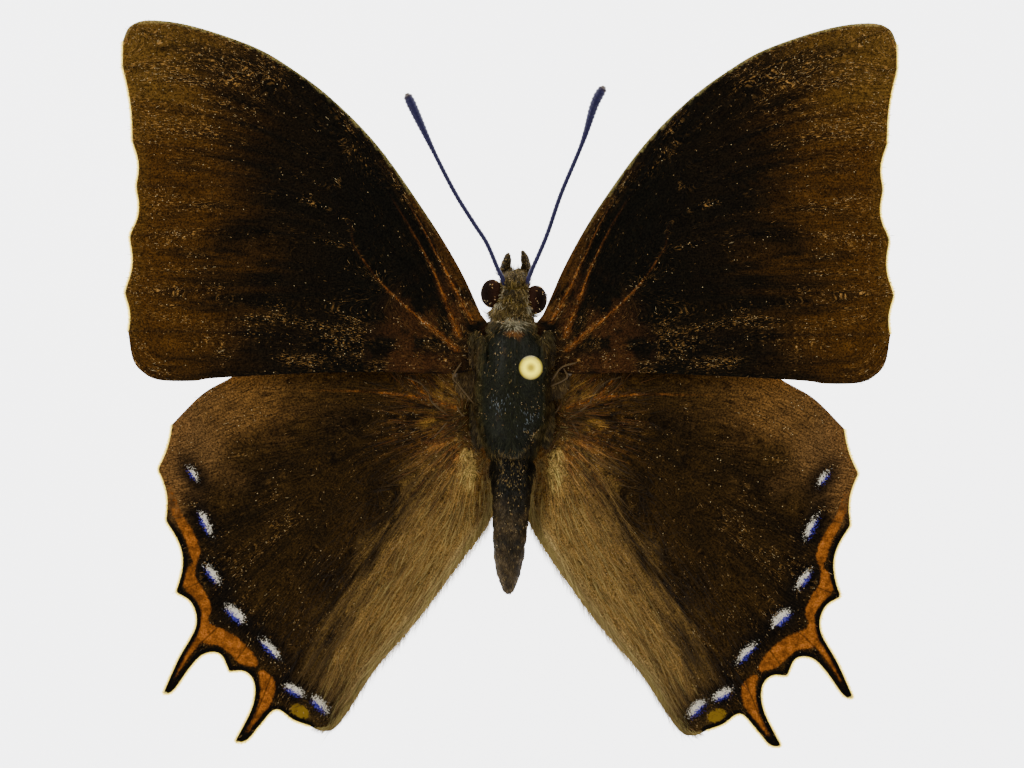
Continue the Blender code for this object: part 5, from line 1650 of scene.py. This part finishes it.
def build_proboscis(material):
    """The coiled tongue, which gets thinner inwards."""
    shares = np.linspace(0.0, 1.0, PROBOSCIS_STEPS)
    angles = PROBOSCIS_START - 2 * math.pi * PROBOSCIS_TURNS * shares
    reach = PROBOSCIS_OUTER + (PROBOSCIS_INNER - PROBOSCIS_OUTER) * shares
    x, y, z = PROBOSCIS_CENTRE
    line = np.stack([np.full(len(shares), x), y + reach * np.cos(angles), z + reach * np.sin(angles)],
                    axis=1)
    line = np.vstack([[(x, *PROBOSCIS_ROOT)], line])
    radii = PROBOSCIS_RADIUS * (1.0 - 0.45 * np.linspace(0.0, 1.0, len(line)))
    radii = radii * (1.0 + 0.05 * np.cos(np.arange(len(line)) * 1.6))
    points, faces = tube(line, radii, PROBOSCIS_SIDES)
    turn_outward(new_piece("tongue", points, faces, [material], ["proboscis"]))


def build_legs(material):
    """Six legs with jointed feet and rows of short spines."""
    shares, sizes = zip(*LEG_SHAPE)
    for pair, path in LEG_PATHS.items():
        for side_name, side in (("left", -1.0), ("right", 1.0)):
            line = curve_through([(side * x, y, z) for x, y, z in path], LEG_STEP)
            place = np.linspace(0.0, 1.0, len(line))
            radii = np.interp(place, shares, sizes)
            radii = radii * (1.0 + 0.12 * np.cos(place * 60.0) * ease(0.7, 0.78, place))
            shapes = [tube(line, radii, LEG_SIDES)]
            for i in range(4, len(line) - 3, 3):
                way = np.cross(line[i + 1] - line[i - 1], (0.0, 0.0, 1.0))
                way = way / np.linalg.norm(way) * (1 if i % 2 else -1) + (0.0, -0.8, -0.4)
                spine = line[i] + np.outer([0.6, 1.6, 2.5], way) * radii[i]
                shapes.append(tube(spine, SPINE_RADII, SPINE_SIDES))
            points, faces = joined(shapes)
            obj = new_piece(f"{side_name}_{pair}_leg", points, faces, [material],
                            [f"leg_{pair}_{side_name}"])
            turn_outward(obj)


def build_pin(steel, bead):
    """The shaft, from the base's blind hole up into the bead, and the bead."""
    bm = bmesh.new()
    top = PIN_TOP - 2 * PIN_HEAD_RADIUS + SHAFT_IN_HEAD
    bmesh.ops.create_cone(bm, cap_ends=True, segments=32, radius1=PIN_RADIUS, radius2=PIN_RADIUS,
                          depth=top - PIN_FOOT,
                          matrix=Matrix.Translation((PIN_X, PIN_Y, (top + PIN_FOOT) / 2)))
    points, faces = shape_of(bm)
    new_piece("pin_shaft", points, faces, [steel], ["pin"])
    points, faces = ball((PIN_X, PIN_Y, PIN_TOP - PIN_HEAD_RADIUS), (PIN_HEAD_RADIUS,) * 3, 64, 40)
    new_piece("pin_head", points, faces, [bead])


def build_ridges(hindwing, material):
    """The stiff glossy ridges in the skin where the wings hinge, and the hindwing's front vein."""
    wing_ridges = {
        "left": [
            [(5.2, -2.7), (6.6, -1.6), (7.0, -0.7), (7.7, 0.1), (9.0, 0.6)],
            [(5.4, -3.2), (6.0, -3.9), (6.7, -4.6)],
            [(4.6, -1.85), (4.3, -2.4), (3.96, -2.7)],
        ],
        "right": [
            [(4.7, -2.9), (6.3, -1.8), (6.9, -0.8), (8.0, 0.25), (9.2, 0.6)],
            [(5.0, -3.2), (5.3, -3.7), (5.6, -4.25)],
            [(3.2, -2.7), (3.7, -2.3), (4.0, -1.8)],
        ],
    }
    skin_ridges = {
        "left": [[(-4.2, 1.8, 26.75), (-4.9, 0.6, 26.45), (-4.5, 0.0, 26.15), (-3.6, -1.1, 26.0),
                  (-3.1, -1.7, 26.0)]],
        "right": [[(5.4, 1.8, 26.6), (4.1, 1.35, 26.75), (3.3, 0.25, 26.4)],
                  [(4.3, 1.3, 26.75), (4.55, 0.5, 26.4), (3.2, -0.2, 26.2)]],
    }
    for side_name, side in (("left", -1.0), ("right", 1.0)):
        lines = []
        for path in wing_ridges[side_name]:
            flat = curve_through(path, RIDGE_STEP)
            height = wing_middle(hindwing, flat) + wing_half(hindwing, flat) + 0.02
            lines.append(np.stack([side * flat[:, 0], flat[:, 1], height], axis=1))
        lines += [curve_through(path, RIDGE_STEP) for path in skin_ridges[side_name]]
        shapes = []
        for line in lines:
            swell = RIDGE_RADIUS + 0.02 * np.sin(np.linspace(0, 9, len(line)))
            swell *= 0.35 + 0.65 * np.sin(np.linspace(0.15, math.pi - 0.15, len(line)))
            shapes.append(tube(line, swell, RIDGE_SIDES))
        points, faces = joined(shapes)
        turn_outward(new_piece(f"{side_name}_hinge_ridges", points, faces, [material]))


# The bead's painted light and shade from its middle to its rim, each ring with its share of the radius:
# a painted dark middle, a painted bright ring of highlight and a painted dark rim
BEAD_SHADED_MIDDLE = "#84741c"
BEAD_PAINTED_SHADING_RINGS = [
    (0.18, "#958420"), (0.34, "#cbb818"), (0.5, "#eddd18"), (0.66, "#cebc18"), (0.82, "#958518"),
    (0.95, "#4e4516"),
]
BEAD_SHADED_RIM = "#302b12"


def bead_material():
    """A pale yellow glass bead, its light and shade painted on in rings: a painted dark middle in
    place of the shaft's end seen through the glass, a painted bright ring of highlight and a painted
    dark rim.

    The bead also gives off its own colour, a painted glow in place of the pale ground's light through
    the glass. Its gloss is kept low, because it stands out of focus in the photograph and shows no
    highlight there.
    """
    material, tree, shader = new_material("pale yellow bead with painted shading and glow", 0.45, 0.1)
    place = add(tree, "TexCoord", result="Object")
    offset = add(tree, "VectorMath", {0: place, 1: (PIN_X * MM, PIN_Y * MM, 0.0)}, operation="SUBTRACT")
    level = add(tree, "VectorMath", {0: offset, 1: (1.0, 1.0, 0.0)}, operation="MULTIPLY")
    reach = add(tree, "VectorMath", {0: level}, result="Value", operation="LENGTH")
    share = add(tree, "MapRange", {"Value": reach, "From Min": 0.0, "From Max": PIN_HEAD_RADIUS * MM})
    ramp = add(tree, "ValToRGB", {"Fac": share})
    stops = ramp.node.color_ramp.elements
    stops[0].color = (*colour(BEAD_SHADED_MIDDLE), 1.0)
    stops[1].color = (*colour(BEAD_SHADED_RIM), 1.0)
    for stop, code in BEAD_PAINTED_SHADING_RINGS:
        stops.new(stop).color = (*colour(code), 1.0)
    tree.links.new(ramp, shader.inputs["Base Color"])
    # Painted glow: the bead gives off its own colour, though it is no lamp.
    tree.links.new(ramp, shader.inputs["Emission Color"])
    shader.inputs["Emission Strength"].default_value = 2.0
    return material


def build_stage():
    """The plain pale floor. It glows a little, like the lit ground that the specimen lies over."""
    bm = bmesh.new()
    bmesh.ops.create_grid(bm, x_segments=1, y_segments=1, size=FLOOR_SIZE / 2)
    mesh = bpy.data.meshes.new("floor")
    bm.to_mesh(mesh)
    bm.free()
    material, _, shader = new_material("matt pale floor", 0.9, 0.2)
    shader.inputs["Base Color"].default_value = (*colour("#e8e8ec"), 1.0)
    shader.inputs["Emission Color"].default_value = (0.97, 0.98, 1.0, 1.0)
    shader.inputs["Emission Strength"].default_value = 4.6
    mesh.materials.append(material)
    floor = bpy.data.objects.new("floor", mesh)
    bpy.context.scene.collection.objects.link(floor)


def aim(obj, target):
    """Turns a light so that it shines at the target."""
    way = Vector(target) - obj.location
    obj.rotation_euler = way.to_track_quat("-Z", "Y").to_euler()


def build_lights():
    """Soft area lights round the specimen and a dim warm world."""
    for name, place, size, power in LIGHTS:
        data = bpy.data.lights.new(name, "AREA")
        data.size = size
        data.energy = power
        light = bpy.data.objects.new(name, data)
        light.location = place
        bpy.context.scene.collection.objects.link(light)
        aim(light, LIGHT_TARGET)
    world = bpy.data.worlds.new("studio")
    world.use_nodes = True
    shade = world.node_tree.nodes["Background"]
    shade.inputs["Color"].default_value = (1.0, 0.97, 0.92, 1.0)
    shade.inputs["Strength"].default_value = 0.25
    bpy.context.scene.world = world


def build_camera():
    """A long lens straight above, as in the photograph."""
    data = bpy.data.cameras.new("camera")
    data.lens = LENS
    data.clip_start = 0.01
    camera = bpy.data.objects.new("camera", data)
    camera.location = (0.0, 0.0, CAMERA_HEIGHT)
    bpy.context.scene.collection.objects.link(camera)
    bpy.context.scene.camera = camera


def build_wings(hindwing):
    # Butterfly scales: dull, dusty and nearly black, which a fine golden dust breaks up
    fore_top = wing_material("dusty dark brown forewing scales", False)
    hind_top = wing_material("dusty dark brown hindwing scales", True)
    # The plainer underside, matt and mottled like bark
    under, _, _ = tinted_material("grey brown underside scales", 0.6, 0.15, 0.12, 0.02)
    # Single scales that have come loose catch a little light
    scales = plain_tint_material("loose golden wing scales", 0.5, 0.3)
    # Dry hair: soft, with hardly a sheen
    hair = plain_tint_material("fine dry hair", 0.6, 0.2)
    cilia = fringe_material()
    for wing, kind, top, tint in ((make_forewing(), "forewing", fore_top, forewing_tint),
                                  (hindwing, "hindwing", hind_top, hindwing_tint)):
        plan = wing_plan(wing)
        for side_name, side in (("left", -1.0), ("right", 1.0)):
            label = f"{side_name}_{kind}"
            build_wing(wing, side, label, plan, [top, under], tint)
            build_scales(wing, side, f"{label}_scales", scales)
            build_fringe(wing, side, f"{label}_fringe", cilia)
            if wing["dips"]:
                build_wing_hair(wing, side, f"{label}_hair", hair)
                build_edge_hair(wing, side, f"{label}_edge_hair", hair)
    return hair, scales


def build_eyes():
    # A dried eye: dark, with a fine grain. It has no gloss at all, because even a faint one shows
    # the bright ground as a pale rim on its round.
    eye, _, _ = tinted_material("dried dark brown eye", 0.5, 0.0, 0.09, 0.004)
    for side, centre in EYES.items():
        points, faces = ball(centre, EYE_RADII, 64, 48)
        # Lighter red brown towards the inner side: partly the eye's own colour, partly a painted sheen.
        inner = -np.sign(centre[0]) * (points[:, 0] - centre[0]) / EYE_RADII[0]
        tints = mix(np.tile(EYE_BLACK, (len(points), 1)), EYE_RED_AND_SHEEN, ease(-0.6, 0.9, inner))
        new_piece(f"{side}_eye", points, faces, [eye], [f"eye_{side}"], {"tint": tints})


def main():
    hindwing = make_hindwing()
    hair, scales = build_wings(hindwing)
    # Dried skin under the hair: matt and finely wrinkled, with a soft shine on the bare shield
    skin, tree, shader = tinted_material("dried body skin", 0.6, 0.1, 0.14, 0.03)
    rough = add(tree, "Attribute", result="Fac", attribute_name="rough")
    tree.links.new(rough, shader.inputs["Roughness"])
    build_body(skin, hair, scales)
    build_eyes()
    # Smooth horn with small scales: dark blue, with a narrow soft shine along each feeler
    feeler, _, _ = tinted_material("dark bluish feeler", 0.4, 0.3, 0.1, 0.01)
    build_antennae(feeler)
    # Dry horn: brown, half glossy, a little rough
    horn = colour_material("dry brown horn", "#4a3520", 0.45, 0.4, grain=0.12, depth=0.01)
    build_proboscis(horn)
    build_legs(horn)
    # Bare skin worn smooth at the hinges: brown, with short highlights
    hinge = colour_material("polished dark wing hinge", "#5e4a2c", 0.35, 0.2)
    build_ridges(hindwing, hinge)
    # Drawn steel wire: bright and smooth, so it mirrors the pale ground
    steel = colour_material("steel pin", "#b8b8b4", 0.25, metallic=1.0)
    build_pin(steel, bead_material())
    # Cast resin: warm grey and matt, with the faint unevenness of its mould
    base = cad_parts["stand_base"]
    base.material_slots[0].material = colour_material("matt cast resin", "#625c52", 0.55, 0.4,
                                                      grain=0.4, depth=0.01)
    build_stage()
    build_lights()
    build_camera()


main()
